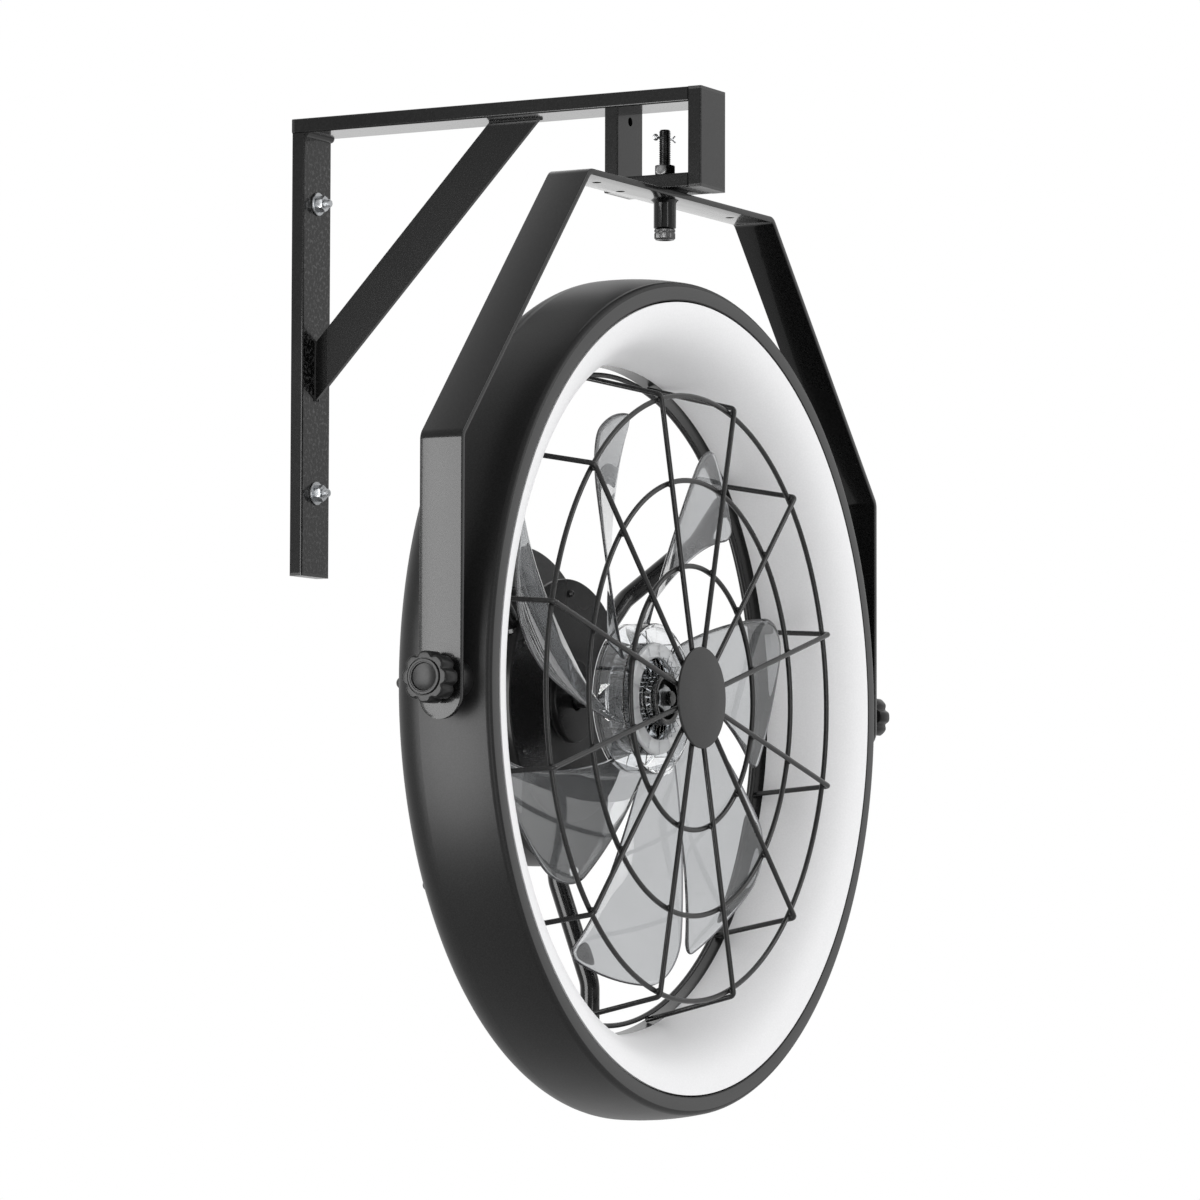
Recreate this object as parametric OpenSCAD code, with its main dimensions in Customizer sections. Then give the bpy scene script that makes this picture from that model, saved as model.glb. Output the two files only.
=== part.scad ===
// Wall mounted fan: a welded flat-tube wall bracket, a bent yoke that swivels
// under it, and a round fan head that tilts between the yoke's arms.
// Origin: midway between the two wall fixings, on the wall face. +Z is up,
// the wall is the plane Y = 0 and the arm reaches toward -Y. Millimetres.

/* [Bracket] */
// Height of the wall post together with the arm on top of it
post_h = 315; // [290:1:400]
// Reach of the arm from the wall to its front face
arm_reach = 317; // [300:1:400]
// Width of the flat tube
tube_w = 36; // [34:1:42]
// Thickness of the flat tube
tube_d = 10; // [9:0.5:13]
// Wall of the flat tube
tube_wall = 1.5; // [1:0.1:2.5]
// Corner radius of the flat tube
tube_corner_r = 1.2; // [0.5:0.1:2]
// Clear length of the swivel frame at the arm's end
frame_len = 52.5; // [44:0.5:70]
// Clear height of the swivel frame
frame_h = 47.2; // [42:0.1:60]
// Distance between the two wall fixings
fixing_spacing = 200; // [160:1:240]
// Hole for a wall fixing
fixing_hole_d = 6.6; // [5.5:0.1:9]
// Width of the diagonal brace
brace_w = 28; // [20:1:34]
// Thickness of the diagonal brace
brace_t = 3; // [2:0.5:5]
// Reach of the brace along the arm, from the post to its far corner
brace_run = 176; // [150:1:200]
// Drop of the brace along the post, from the arm to its lowest corner
brace_drop = 184; // [150:1:210]
// Thickness of a tube plug's cap
plug_cap_t = 2; // [1:0.5:4]
// Depth of a tube plug inside the tube
plug_depth = 9; // [5:1:15]

/* [Swivel] */
// Diameter of the swivel bolt
bolt_d = 8; // [6:0.5:10]
// Width of the swivel nut across its flats
nut_af = 13; // [12:0.5:17]
// Height of the swivel nut
nut_h = 6.5; // [4:0.5:9]
// Length of the bolt above its nut
bolt_tail = 24; // [14:1:28]
// Diameter of the flat washer under the nut
washer_d = 17; // [15:0.5:22]
// Thickness of the flat washer
washer_t = 1.6; // [1:0.1:2.5]
// Diameter of the friction disc between the bracket and the yoke
friction_d = 30; // [22:1:34]
// Thickness of the friction disc
friction_t = 1; // [0.5:0.1:2]
// Outer diameter of the swivel sleeve
sleeve_d = 15; // [13:0.5:20]
// Length of the swivel sleeve
sleeve_l = 19; // [10:0.5:26]
// Diameter of the bolt head
head_d = 14; // [12.5:0.5:18]
// Height of the bolt head
head_h = 7.4; // [5:0.1:9]
// Wire diameter of the cotter pin
cotter_d = 1.6; // [1:0.1:2.4]

/* [Yoke] */
// Width of the yoke strap
strap_w = 30; // [26:1:34]
// Thickness of the yoke strap
strap_t = 4; // [3:0.5:5]
// Clearance between the swivel bolt's head and the housing
head_gap = 27.2; // [18:0.1:60]
// Clearance between the housing and each arm of the yoke
yoke_gap = 12.6; // [8:0.1:25]
// Half length of the flat top between its bends
yoke_top_half = 131.5; // [100:0.5:160]
// Drop from the top to the lower bends
yoke_shoulder = 184.6; // [150:0.1:210]
// Inner radius of the strap's bends
bend_r = 6; // [3:0.5:12]
// Length of the arms below the tilt axis
arm_tail = 25.3; // [20:0.1:32]
// Play of the knob studs in the yoke's arms, across their diameter
pivot_play = 0.5; // [0.3:0.1:1.5]

/* [Housing] */
// Largest radius of the fan housing
shell_r = 278; // [260:0.5:300]
// Depth of the housing
shell_depth = 74.5; // [68:0.5:90]
// Radius of the housing's bulging side
crown_r = 190; // [150:1:240]
// Distance of the widest place behind the rim
crown_y = 40; // [34:0.5:46]
// Radius of the rear corner
rear_corner_r = 27; // [18:0.5:28]
// Radius of the rim's outer corner
rim_corner_r = 4; // [2:0.5:6]
// Sheet thickness of the housing
shell_t = 2; // [1.5:0.1:3]
// Width of the rim, from the largest radius to its inner edge
rim_w = 16; // [12:0.5:20]
// Width of the white bell mouth, from the rim to the throat
bell_w = 40; // [34:0.5:48]
// Distance of the bell mouth's end in front of the housing's rear face
throat_set = 15.5; // [12:0.5:20]
// Sheet thickness of the bell mouth
bell_t = 2; // [1.5:0.1:3]
// Distance from the rim back to the tilt axis
pivot_back = 23.8; // [20:0.1:28]

/* [Guard] */
// Wire diameter of the guard
wire_d = 3.5; // [2.5:0.1:4.5]
// Number of spokes
spokes = 12; // [8:1:16]
// Distance of the guard's front corner inside the throat
guard_in = 19; // [15:0.5:25]
// Radius of the centre disc
disc_r = 33.5; // [28:0.5:44]
// Thickness of the centre disc
disc_t = 2; // [1:0.1:3]

/* [Rotor] */
// Number of blades
blades = 7; // [5:1:9]
// Clearance between the blade tips and the throat
tip_gap = 32; // [27:0.5:40]
// Outer radius of the hub
hub_r = 50; // [46:0.5:54]
// Depth of the hub's front behind the rim
hub_y = 28; // [26:0.5:30]
// Length of the hub
hub_l = 23; // [21:0.5:26]
// Reach of the blades in front of the hub
blade_lead = 4; // [0:0.5:6]
// Depth of a blade along the axis, from its front edge to its rear edge
blade_l = 26; // [20:0.5:32]
// Distance of a blade's front edge from its middle line at the hub, round the axis
front_edge_root = 42; // [36:1:48]
// The same at the tip, before its corner is rounded
front_edge_tip = 64; // [50:1:70]
// Chord of a blade at the hub
blade_root_w = 17; // [12:1:24]
// Distance of a blade's rear edge past its middle line at the tip
rear_edge_tip = 47; // [36:1:52]
// Radius of the front corner of a blade's tip
front_round = 30; // [20:1:36]
// Radius of the rear corner of a blade's tip
rear_round = 12; // [8:1:24]
// Thickness of a blade
blade_t = 2.2; // [1.6:0.1:3]
// Diameter of the motor shaft
shaft_d = 10; // [8:0.5:12]

/* [Motor] */
// Distance of the motor's front face behind the housing
motor_gap = 20.1; // [14:0.1:30]
// Length of the motor, from its front face to its rear cover
motor_l = 35.4; // [30:0.2:45]
// Radius of the motor's front face
motor_r = 81.5; // [76:0.5:84]
// Overhang of the front cover round the drum
cover_lip = 3.5; // [1:0.5:6]
// Wall of the motor drum
drum_wall = 2.5; // [2:0.1:4]
// Width of the rear cover's flange round the drum
rear_flange_w = 26.6; // [20:0.2:34]
// Radius of the boss on the front face
boss_r = 28; // [24:0.5:32]
// Width of the driver box
driver_w = 118; // [90:1:130]
// Height of the driver box below the drum
driver_h = 32; // [26:1:40]
// Diameter of the support arms
arm_d = 13; // [10:0.5:14]

/* [Knobs] */
// Diameter over the knob's lobes
knob_d = 32; // [28:0.5:36]
// Number of lobes
knob_lobes = 8; // [6:1:9]
// Length of the knob
knob_l = 20; // [16:0.5:24]
// Diameter of the knob's stud
stud_d = 8; // [6:0.5:8]

/* [Hidden] */
$fn = 64;
cut = 1;
run_gap = 0.1;
bore_fit = 0.05;
touch_gap = 0.05;

// Bracket
arm_top_z = post_h / 2;
arm_z = arm_top_z - tube_d;
frame_top_z = arm_z;
frame_floor_z = frame_top_z - frame_h;
frame_bottom_z = frame_floor_z - tube_d;
end_y = -arm_reach + tube_d;
strut_y = end_y + frame_len;
bolt_y = end_y + frame_len / 2;
strut_back_y = strut_y + tube_d;
brace_angle = atan2(brace_drop, brace_run);
brace_foot = brace_w / cos(brace_angle);
brace_head = brace_w / sin(brace_angle);
cable_hole_d = 6;
cable_hole_drop = 7.7;

// Swivel stack, from the bracket's frame down
friction_z = frame_bottom_z - friction_t;
yoke_top_z = friction_z - run_gap;
plate_z = yoke_top_z - strap_t;
sleeve_z = plate_z - sleeve_l;
head_top_z = sleeve_z - run_gap;
nut_z = frame_floor_z + washer_t;
bolt_top_z = nut_z + nut_h + bolt_tail;
cotter_z = bolt_top_z - 3.5 * cotter_d;
cotter_reach = 4.2 * cotter_d;
bolt_hole_d = bolt_d + 0.06 * bolt_d;
head_flats_share = 0.93;

// Yoke
yoke_half = shell_r + yoke_gap + strap_t;
fan_z = head_top_z - head_h - head_gap - shell_r;
pivot_hole_d = stud_d + pivot_play;
bend_out_r = bend_r + strap_t;
slope = atan2(yoke_shoulder, yoke_half - yoke_top_half);
bend_steps = 6;
yoke_inner = yoke_half - strap_t;
plate_hole_d = 0.2 * strap_w;
plate_hole_x = 0.72 * yoke_top_half;
third_hole_x = -0.39 * yoke_top_half;
third_hole_y = 0.2 * strap_w;

// Housing outline, in the plane of radius and depth
rim_in_r = shell_r - rim_w;
throat_r = rim_in_r - bell_w;
throat_y = shell_depth - throat_set;
rear_lip_w = 14.8;
crown_c = shell_r - crown_r;
rear_c_y = shell_depth - rear_corner_r;
rear_c_r = crown_c + sqrt(pow(crown_r - rear_corner_r, 2) - pow(rear_c_y - crown_y, 2));
rim_c_r = crown_c + sqrt(pow(crown_r - rim_corner_r, 2) - pow(crown_y - rim_corner_r, 2));
rim_a = atan2(rim_corner_r - crown_y, rim_c_r - crown_c);
rear_a = atan2(rear_c_y - crown_y, rear_c_r - crown_c);
rear_lip_r = rear_c_r - rear_lip_w;
lip_a = 72;
plate_nest_r = shell_depth - rear_c_y - shell_t - 3 * touch_gap;
plate_back_y = rear_c_y + plate_nest_r;
bell_gap = 0.5 * bell_t;
bell_r = rim_in_r - bell_gap;
bell_rise = bell_r - throat_r;
bell_steps = 14;
bell_lip = 3 * bell_t;

// Pivot bosses between the housing and the yoke
pivot_boss_d = 26;
pivot_flange_d = 1.3 * pivot_boss_d;
pivot_flange_t = 3;
pivot_boss_x = yoke_inner - 3 * run_gap;
pivot_flange_gap = 0.5;
pivot_far = crown_y - pivot_back + pivot_flange_d / 2;
pivot_wall_r = crown_c + sqrt(pow(crown_r - shell_t, 2) - pow(pivot_far, 2));
pivot_flange_x = sqrt(pow(pivot_wall_r, 2) - pow(pivot_flange_d / 2, 2)) - pivot_flange_gap;

// Screws that hold the back plate to the housing
screw_count = 12;
screw_head_d = 8;
screw_head_h = 4;
screw_shank_d = 4;
screw_r = rear_c_r + 0.25 * shell_t;
screw_l = 3.5 * shell_t;

// Guard
guard_r = throat_r - guard_in;
mid_ring_share = 0.707;
small_ring_share = 0.4286;
ring_r2 = mid_ring_share * guard_r;
ring_r3 = small_ring_share * guard_r;
spoke_y = -0.85 * wire_d / 2;
ring_y = spoke_y + wire_d + touch_gap;
guard_bend_r = wire_d;
disc_y = spoke_y - wire_d / 2 - touch_gap - disc_t;
spoke_in_r = 0.62 * disc_r;
ring_r1 = guard_r - wire_d - touch_gap;
spoke_end_r = throat_r - wire_d / 2 - touch_gap;
spoke_end_y = throat_y + 2.2 * wire_d;
splay = atan2(spoke_end_r - guard_r, spoke_end_y - spoke_y);
rear_ring_y = spoke_end_y - wire_d / 2;
rear_ring_r = spoke_end_r - (wire_d / 2) * tan(splay) - (wire_d + touch_gap) / cos(splay);
spoke_sides = 10;

// Rotor
tip_r = throat_r - tip_gap;
blade_y0 = hub_y - blade_lead;
blade_y1 = blade_y0 + blade_l;
hub_wall = 2.5;
core_r = 0.48 * hub_r;
core_front_y = hub_y + 0.42 * hub_l;
web_t = 2.5;
web_y = hub_y + hub_l - 2 * web_t;
core_flange_r = 0.66 * hub_r;
core_flange_t = 2.4;
hub_ribs = 2 * blades;
rib_t = 1.6;
shaft_r = shaft_d / 2;
shaft_front_y = hub_y - 0.1 * hub_l;
shaft_nut_af = 1.7 * shaft_d;
shaft_nut_h = 0.6 * shaft_d;
blade_rows = 14;
blade_cols = 8;
blade_camber = 4;
rear_sweep_share = 0.7;
rear_edge_root = front_edge_root - blade_root_w;
root_y0 = hub_y + 1.2 * blade_t;
root_y1 = hub_y + hub_l - 1.2 * blade_t;

// Motor
motor_y = shell_depth + motor_gap;
motor_back_y = motor_y + motor_l;
drum_r = motor_r - cover_lip;
rear_cover_r = drum_r + rear_flange_w;
driver_low = drum_r + driver_h;
cover_t = 3;
drum_front_y = motor_y + cover_t;
drum_l = motor_back_y - drum_front_y;
boss_h = 5;
bearing_d = 2.6 * shaft_d;
bearing_w = 8;
bearing_in = 0.7 * shaft_d;
rotor_core_r = 30;
stator_r = drum_r - drum_wall;
air_gap = 1;
stator_in_r = rotor_core_r + air_gap;
core_l = 0.42 * drum_l;
core_y = drum_front_y + 0.29 * drum_l;
shaft_back_y = motor_back_y + 0.4 * cover_t;
coil_count = 12;
coil_d = 12;
driver_set = 2;
driver_d = drum_l - driver_set;
driver_y = motor_back_y - driver_d;
driver_wall = 2;
gland_d = 14;
gland_l = 12;
gland_hole_d = 7;
motor_screws = 6;
motor_screw_r = 0.88 * motor_r;
motor_screw_d = 6;
motor_screw_h = 2;

// Support arms
side_arm_angles = [38, 142];
low_arm_angle = 270;
arm_r = arm_d / 2;
arm_bend_r = 2 * arm_d;
arm_sides = 16;
arm_set = 9.4;
arm_inner_y = motor_y + arm_set;
arm_outer_y = plate_back_y + arm_r;
arm_bend1_r = rear_cover_r + 1.1 * arm_d;
arm_bend2_r = throat_r - 2.6 * arm_d;
arm_end_r = rear_lip_r - 0.1 * arm_d;

// Knobs
knob_base_t = 4;
knob_gap = 3 * run_gap;
knob_x = yoke_half + knob_gap;
knob_lobe_r = 0.14 * knob_d;
knob_body_r = knob_d / 2 - 0.6 * knob_lobe_r;
knob_face_d = 0.7 * knob_d;
knob_recess_d = 0.54 * knob_d;
knob_recess_t = 1.5;
stud_reach = shell_r - 6 * shell_t;

// Points on an arc about (cx, cy), from angle a0 to angle a1
function arc(cx, cy, r, a0, a1, steps) =
    [for (i = [0:steps]) let (a = a0 + (a1 - a0) * i / steps) [cx + r * cos(a), cy + r * sin(a)]];

// Arc of radius r in place of the corner b, on the way from a to c
function bend(a, b, c, r, steps) =
    let (t0 = atan2(b[1] - a[1], b[0] - a[0]), t1 = atan2(c[1] - b[1], c[0] - b[0]))
    let (way = sign(t1 - t0), back = r * tan(abs(t1 - t0) / 2))
    arc(b[0] - back * cos(t0) - way * r * sin(t0), b[1] - back * sin(t0) + way * r * cos(t0),
        r, t0 - way * 90, t1 - way * 90, steps);

function reversed(points) = [for (i = [len(points) - 1:-1:0]) points[i]];

function mirrored(points) = [for (p = points) [-p[0], p[1]]];

// Outer contour of the housing, set in by t, as [radius, depth]
function shell_path(t) = concat(
    [[rim_in_r, t]],
    arc(rim_c_r, rim_corner_r, rim_corner_r - t, -90, rim_a, 4),
    arc(crown_c, crown_y, crown_r - t, rim_a, rear_a, 12),
    arc(rear_c_r, rear_c_y, rear_corner_r - t, rear_a, 90, 8),
    [[rear_lip_r, shell_depth - t]]
);

// Contour of the bell mouth, set back by t: a quarter ellipse from rim to throat
function bell_path(t) =
    [for (i = [0:bell_steps]) let (a = 90 - 90 * i / bell_steps)
        [bell_r - (bell_rise - t) * cos(a), throat_y - (throat_y - t) * sin(a)]];

// Strap contour of one half of the yoke, set in by t, as [x, z]
function yoke_path(t) = concat(
    arc(yoke_top_half - bend_out_r * tan(slope / 2), yoke_top_z - bend_out_r,
        bend_out_r - t, 90, 90 - slope, bend_steps),
    arc(yoke_half - bend_out_r,
        yoke_top_z - yoke_shoulder - bend_out_r * tan((90 - slope) / 2),
        bend_out_r - t, 90 - slope, 0, bend_steps),
    [[yoke_half - t, fan_z - arm_tail]]
);

// How far out radius r lies, from 0 at the hub to 1 at the tip
function outward(r) = (r - hub_r) / (tip_r - hub_r);

// What a rounded tip corner takes off an edge at radius r
function corner_cut(r, round) =
    round - sqrt(max(0, pow(round, 2) - pow(max(0, r - (tip_r - round)), 2)));

// Edges of a blade, as distances round the axis from its middle line
function front_edge(r) =
    let (u = outward(r))
    front_edge_root + (front_edge_tip - front_edge_root) * (1 - pow(1 - u, 2));

function rear_edge(r) =
    let (u = outward(r))
    let (sweep = rear_sweep_share * u + (1 - rear_sweep_share) * pow(u, 4))
    rear_edge_root - (rear_edge_root + rear_edge_tip) * sweep;

// Radius of row i, with the rows closer together near the tip
function blade_radius(i) =
    let (u = i / blade_rows)
    hub_r + touch_gap + (tip_r - hub_r - touch_gap) * sin(90 * u);

// Depth of the blade's middle surface at a distance round the axis: steep at the hub
function blade_depth(r, round_by) =
    let (u = outward(r))
    let (t = (front_edge(r) - round_by) / (front_edge(r) - rear_edge(r)))
    let (front_y = root_y0 + (blade_y0 - root_y0) * (1 - pow(1 - u, 2)))
    let (rear_y = root_y1 + (blade_y1 - root_y1) * u)
    front_y + (rear_y - front_y) * t + blade_camber * u * t * (1 - t);

// One blade surface point: j runs from the front edge to the rear edge
function blade_point(i, j, side) =
    let (r = blade_radius(i))
    let (front = front_edge(r) - corner_cut(r, front_round))
    let (rear = rear_edge(r) + corner_cut(r, rear_round))
    let (round_by = front + (rear - front) * j / blade_cols)
    let (a = round_by / r * 180 / PI)
    [r * cos(a), -r * sin(a), blade_depth(r, round_by) + side * blade_t / 2];

// Places the fan's own frame: +Z runs back from the rim plane, along the fan axis
module at_fan() {
    translate([0, bolt_y - pivot_back, fan_z]) rotate([-90, 0, 0]) children();
}

// Copies children round the fan axis, with angles seen from the front
module round_copies(count, first = 0) {
    for (k = [0:count - 1]) rotate([0, 0, -(first + 360 * k / count)]) children();
}

// Bent tube or wire in the plane of radius and depth, along points [radius, depth]
module tube_along(path, r, n) {
    last = len(path) - 1;
    points = [for (i = [0:last], k = [0:n - 1])
        let (p = path[i], d = path[min(i + 1, last)] - path[max(i - 1, 0)], t = atan2(d[1], d[0]))
        let (u = r * cos(360 * k / n), v = r * sin(360 * k / n))
        [p[0] - u * sin(t), v, p[1] + u * cos(t)]];
    sides = [for (i = [0:last - 1], k = [0:n - 1]) let (a = i * n + k, b = i * n + (k + 1) % n)
        each [[a, b, b + n], [a, b + n, a + n]]];
    ends = [[for (k = [n - 1:-1:0]) k], [for (k = [0:n - 1]) last * n + k]];
    polyhedron(points, concat(sides, ends));
}

module tube_section(w, d, r) {
    translate([-w / 2 + r, 0]) square([w - 2 * r, d]);
    translate([-w / 2, r]) square([w, d - 2 * r]);
    for (x = [-w / 2 + r, w / 2 - r], y = [r, d - r]) translate([x, y]) circle(r);
}

// Flat tube from z = 0 up, its thickness toward +Y
module flat_tube(length) {
    difference() {
        linear_extrude(length) tube_section(tube_w, tube_d, tube_corner_r);
        translate([-tube_w / 2 + tube_wall, tube_wall, -cut])
            cube([tube_w - 2 * tube_wall, tube_d - 2 * tube_wall, length + 2 * cut]);
    }
}

// Plug for the tube's end at z = 0, with its cap below
module tube_plug() {
    translate([0, 0, -plug_cap_t]) linear_extrude(plug_cap_t)
        tube_section(tube_w, tube_d, tube_corner_r);
    difference() {
        translate([-tube_w / 2 + tube_wall, tube_wall, 0])
            cube([tube_w - 2 * tube_wall, tube_d - 2 * tube_wall, plug_depth]);
        translate([-tube_w / 2 + 2 * tube_wall, 2 * tube_wall, plug_cap_t])
            cube([tube_w - 4 * tube_wall, tube_d - 4 * tube_wall, plug_depth]);
    }
}

module hex_prism(af, h) {
    cylinder(h = h, d = af / cos(30), $fn = 6);
}

module wall_post() {
    color("#2b2b2c") difference() {
        translate([0, -tube_d, -arm_top_z + plug_cap_t]) flat_tube(arm_z + arm_top_z - plug_cap_t);
        for (z = [-fixing_spacing / 2, fixing_spacing / 2])
            translate([0, cut, z]) rotate([90, 0, 0])
                cylinder(h = tube_d + 2 * cut, d = fixing_hole_d);
    }
}

module arm_tube() {
    color("#2b2b2c") translate([0, -plug_cap_t, arm_z + tube_d]) rotate([90, 0, 0])
        mirror([0, 1, 0]) flat_tube(-end_y - plug_cap_t);
}

module inner_strut() {
    color("#2b2b2c") difference() {
        translate([0, strut_y, frame_floor_z]) flat_tube(frame_h);
        translate([0, strut_y + tube_d / 2, frame_top_z - cable_hole_drop]) rotate([90, 0, 0])
            cylinder(h = tube_d / 2 + cut, d = cable_hole_d);
    }
}

module bottom_bar() {
    color("#2b2b2c") difference() {
        translate([0, strut_back_y - plug_cap_t, frame_floor_z]) rotate([90, 0, 0])
            mirror([0, 1, 0]) flat_tube(strut_back_y - plug_cap_t - end_y);
        translate([0, bolt_y, frame_bottom_z - cut])
            cylinder(h = tube_d + 2 * cut, d = bolt_hole_d);
    }
}

module end_bar() {
    color("#2b2b2c") translate([0, end_y - tube_d, frame_bottom_z + plug_cap_t])
        flat_tube(arm_top_z - frame_bottom_z - 2 * plug_cap_t);
}

// Flat strap set on edge between the post and the arm
module brace() {
    color("#2b2b2c") translate([brace_t / 2, 0, 0]) rotate([90, 0, -90]) linear_extrude(brace_t)
        polygon([
            [tube_d, arm_z - brace_drop],
            [tube_d, arm_z - brace_drop + brace_foot],
            [tube_d + brace_run - brace_head, arm_z],
            [tube_d + brace_run, arm_z]
        ]);
}

module tube_plugs() {
    color("#1c1c1d") {
        translate([0, -tube_d, -arm_top_z + plug_cap_t]) tube_plug();
        translate([0, -plug_cap_t, arm_top_z]) rotate([90, 0, 0]) mirror([0, 1, 0]) tube_plug();
        translate([0, strut_back_y - plug_cap_t, frame_floor_z]) rotate([90, 0, 0])
            mirror([0, 1, 0]) tube_plug();
        translate([0, end_y - tube_d, frame_bottom_z + plug_cap_t]) tube_plug();
        translate([0, end_y - tube_d, arm_top_z - plug_cap_t]) mirror([0, 0, 1]) tube_plug();
    }
}

// Bolt with a chamfered hexagon head, its tail drilled for the cotter pin
module swivel_bolt() {
    color("#6d6f72") translate([0, bolt_y, 0]) difference() {
        union() {
            translate([0, 0, head_top_z - head_h]) intersection() {
                hex_prism(head_d * head_flats_share, head_h);
                cylinder(h = head_h, d = head_d);
            }
            translate([0, 0, head_top_z]) cylinder(h = bolt_top_z - head_top_z, d = bolt_d);
        }
        translate([0, 0, cotter_z]) rotate([0, 90, 0])
            cylinder(h = 2 * bolt_d, d = cotter_d + 2 * bore_fit, center = true);
    }
}

module swivel_washer() {
    color("#55585b") translate([0, bolt_y, frame_floor_z]) difference() {
        cylinder(h = washer_t, d = washer_d);
        translate([0, 0, -cut]) cylinder(h = washer_t + 2 * cut, d = bolt_hole_d);
    }
}

module friction_disc() {
    color("#141414") translate([0, bolt_y, friction_z]) difference() {
        cylinder(h = friction_t, d = friction_d);
        translate([0, 0, -cut]) cylinder(h = friction_t + 2 * cut, d = bolt_hole_d);
    }
}

module swivel_nut() {
    color("#303133") translate([0, bolt_y, nut_z]) difference() {
        intersection() {
            hex_prism(nut_af, nut_h);
            cylinder(h = nut_h, d = nut_af + washer_t / 2);
        }
        translate([0, 0, -cut]) cylinder(h = nut_h + 2 * cut, d = bolt_d + 2 * bore_fit);
    }
}

// Split pin through the bolt's tail: an eye on one side, a bent leg on the other
module cotter_pin() {
    color("#9b9da0") translate([0, bolt_y, cotter_z]) {
        rotate([0, 90, 0]) cylinder(h = 2 * cotter_reach, d = cotter_d, center = true);
        translate([-cotter_reach - cotter_d, 0, 0]) rotate([90, 0, 0])
            rotate_extrude() translate([cotter_d, 0]) circle(d = cotter_d);
        translate([cotter_reach, 0, 0]) rotate([0, 35, 0])
            cylinder(h = 2.5 * cotter_d, d = cotter_d);
        translate([cotter_reach, 0, 0]) sphere(d = cotter_d);
    }
}

module yoke() {
    outer = yoke_path(0);
    inner = reversed(yoke_path(strap_t));
    round_z = fan_z - arm_tail + strap_w / 2;
    color("#2f2f30") translate([0, bolt_y, 0]) difference() {
        intersection() {
            translate([0, strap_w / 2, 0]) rotate([90, 0, 0]) linear_extrude(strap_w)
                polygon(concat(outer, inner, mirrored(reversed(inner)), mirrored(reversed(outer))));
            union() {
                translate([-yoke_half - cut, -strap_w / 2, round_z])
                    cube([2 * (yoke_half + cut), strap_w, yoke_top_z - round_z]);
                translate([-yoke_half - cut, 0, round_z]) rotate([0, 90, 0])
                    cylinder(h = 2 * (yoke_half + cut), d = strap_w);
            }
        }
        translate([0, 0, plate_z - cut])
            cylinder(h = strap_t + 2 * cut, d = bolt_d + 2 * bore_fit);
        for (x = [-plate_hole_x, plate_hole_x]) translate([x, 0, plate_z - cut])
            cylinder(h = strap_t + 2 * cut, d = plate_hole_d);
        translate([third_hole_x, third_hole_y, plate_z - cut])
            cylinder(h = strap_t + 2 * cut, d = plate_hole_d);
        for (side = [-1, 1]) translate([side * (yoke_half - strap_t / 2), 0, fan_z])
            rotate([0, 90, 0]) cylinder(h = 2 * strap_t, d = pivot_hole_d, center = true);
    }
}

module swivel_sleeve() {
    color("#1d1d1e") translate([0, bolt_y, sleeve_z]) difference() {
        cylinder(h = sleeve_l, d = sleeve_d);
        translate([0, 0, -cut]) cylinder(h = sleeve_l + 2 * cut, d = bolt_d + 2 * bore_fit);
    }
}

module pivot_bores(d) {
    for (side = [-1, 1]) translate([side * shell_r, 0, pivot_back]) rotate([0, 90, 0])
        cylinder(h = 0.3 * shell_r, d = d, center = true);
}

module screw_holes(d) {
    round_copies(screw_count) translate([screw_r, 0, shell_depth - screw_l])
        cylinder(h = screw_l + cut, d = d);
}

module housing_shell() {
    color("#252526") at_fan() difference() {
        rotate_extrude($fn = 128) polygon(concat(shell_path(0), reversed(shell_path(shell_t))));
        pivot_bores(pivot_boss_d);
        screw_holes(screw_shank_d);
    }
}

// Pressed ring: the collar behind the bell mouth and the rear wall behind the housing's lip
module back_plate() {
    inner_y = plate_back_y - shell_t;
    color("#1e1e1f") at_fan() difference() {
        rotate_extrude($fn = 128) polygon(concat(
            [[throat_r, throat_y], [throat_r + shell_t, throat_y], [throat_r + shell_t, inner_y]],
            arc(rear_c_r, rear_c_y, plate_nest_r - shell_t, 90, lip_a, 3),
            arc(rear_c_r, rear_c_y, plate_nest_r, lip_a, 90, 3),
            [[throat_r, plate_back_y]]
        ));
        screw_holes(screw_shank_d);
    }
}

module bell_mouth() {
    color("#e9e9e9") at_fan() rotate_extrude($fn = 128)
        polygon(concat(bell_path(0), reversed(bell_path(bell_t))));
}

// Threaded bosses that carry the knob studs, flanged inside the housing
module pivot_bosses() {
    color("#1d1d1e") at_fan() for (side = [0, 180]) rotate([0, 0, side])
        translate([0, 0, pivot_back]) rotate([0, 90, 0]) difference() {
            union() {
                translate([0, 0, pivot_flange_x - pivot_flange_t])
                    cylinder(h = pivot_flange_t, d = pivot_flange_d);
                translate([0, 0, pivot_flange_x - cut])
                    cylinder(h = pivot_boss_x - pivot_flange_x + cut, d = pivot_boss_d);
            }
            translate([0, 0, pivot_flange_x - 2 * pivot_flange_t])
                cylinder(h = 4 * pivot_boss_d, d = stud_d + 2 * bore_fit);
        }
}

module housing_screws() {
    color("#1a1a1b") at_fan() round_copies(screw_count) translate([screw_r, 0, shell_depth]) {
        difference() {
            cylinder(h = screw_head_h, d = screw_head_d);
            translate([0, 0, screw_head_h / 2]) hex_prism(screw_head_d / 3, screw_head_h);
        }
        translate([0, 0, -screw_l + cut]) cylinder(h = screw_l, d = screw_shank_d);
    }
}

// One wire: from the centre out, round a bend, and back to the throat's collar
module guard_spoke() {
    start = [spoke_in_r, spoke_y];
    corner = [guard_r, spoke_y];
    end = [spoke_end_r, spoke_end_y];
    tube_along(concat([start], bend(start, corner, end, guard_bend_r, 5), [end]),
        wire_d / 2, spoke_sides);
}

module guard_spokes() {
    color("#1b1b1c") at_fan() round_copies(spokes, 180 / spokes) guard_spoke();
}

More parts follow.
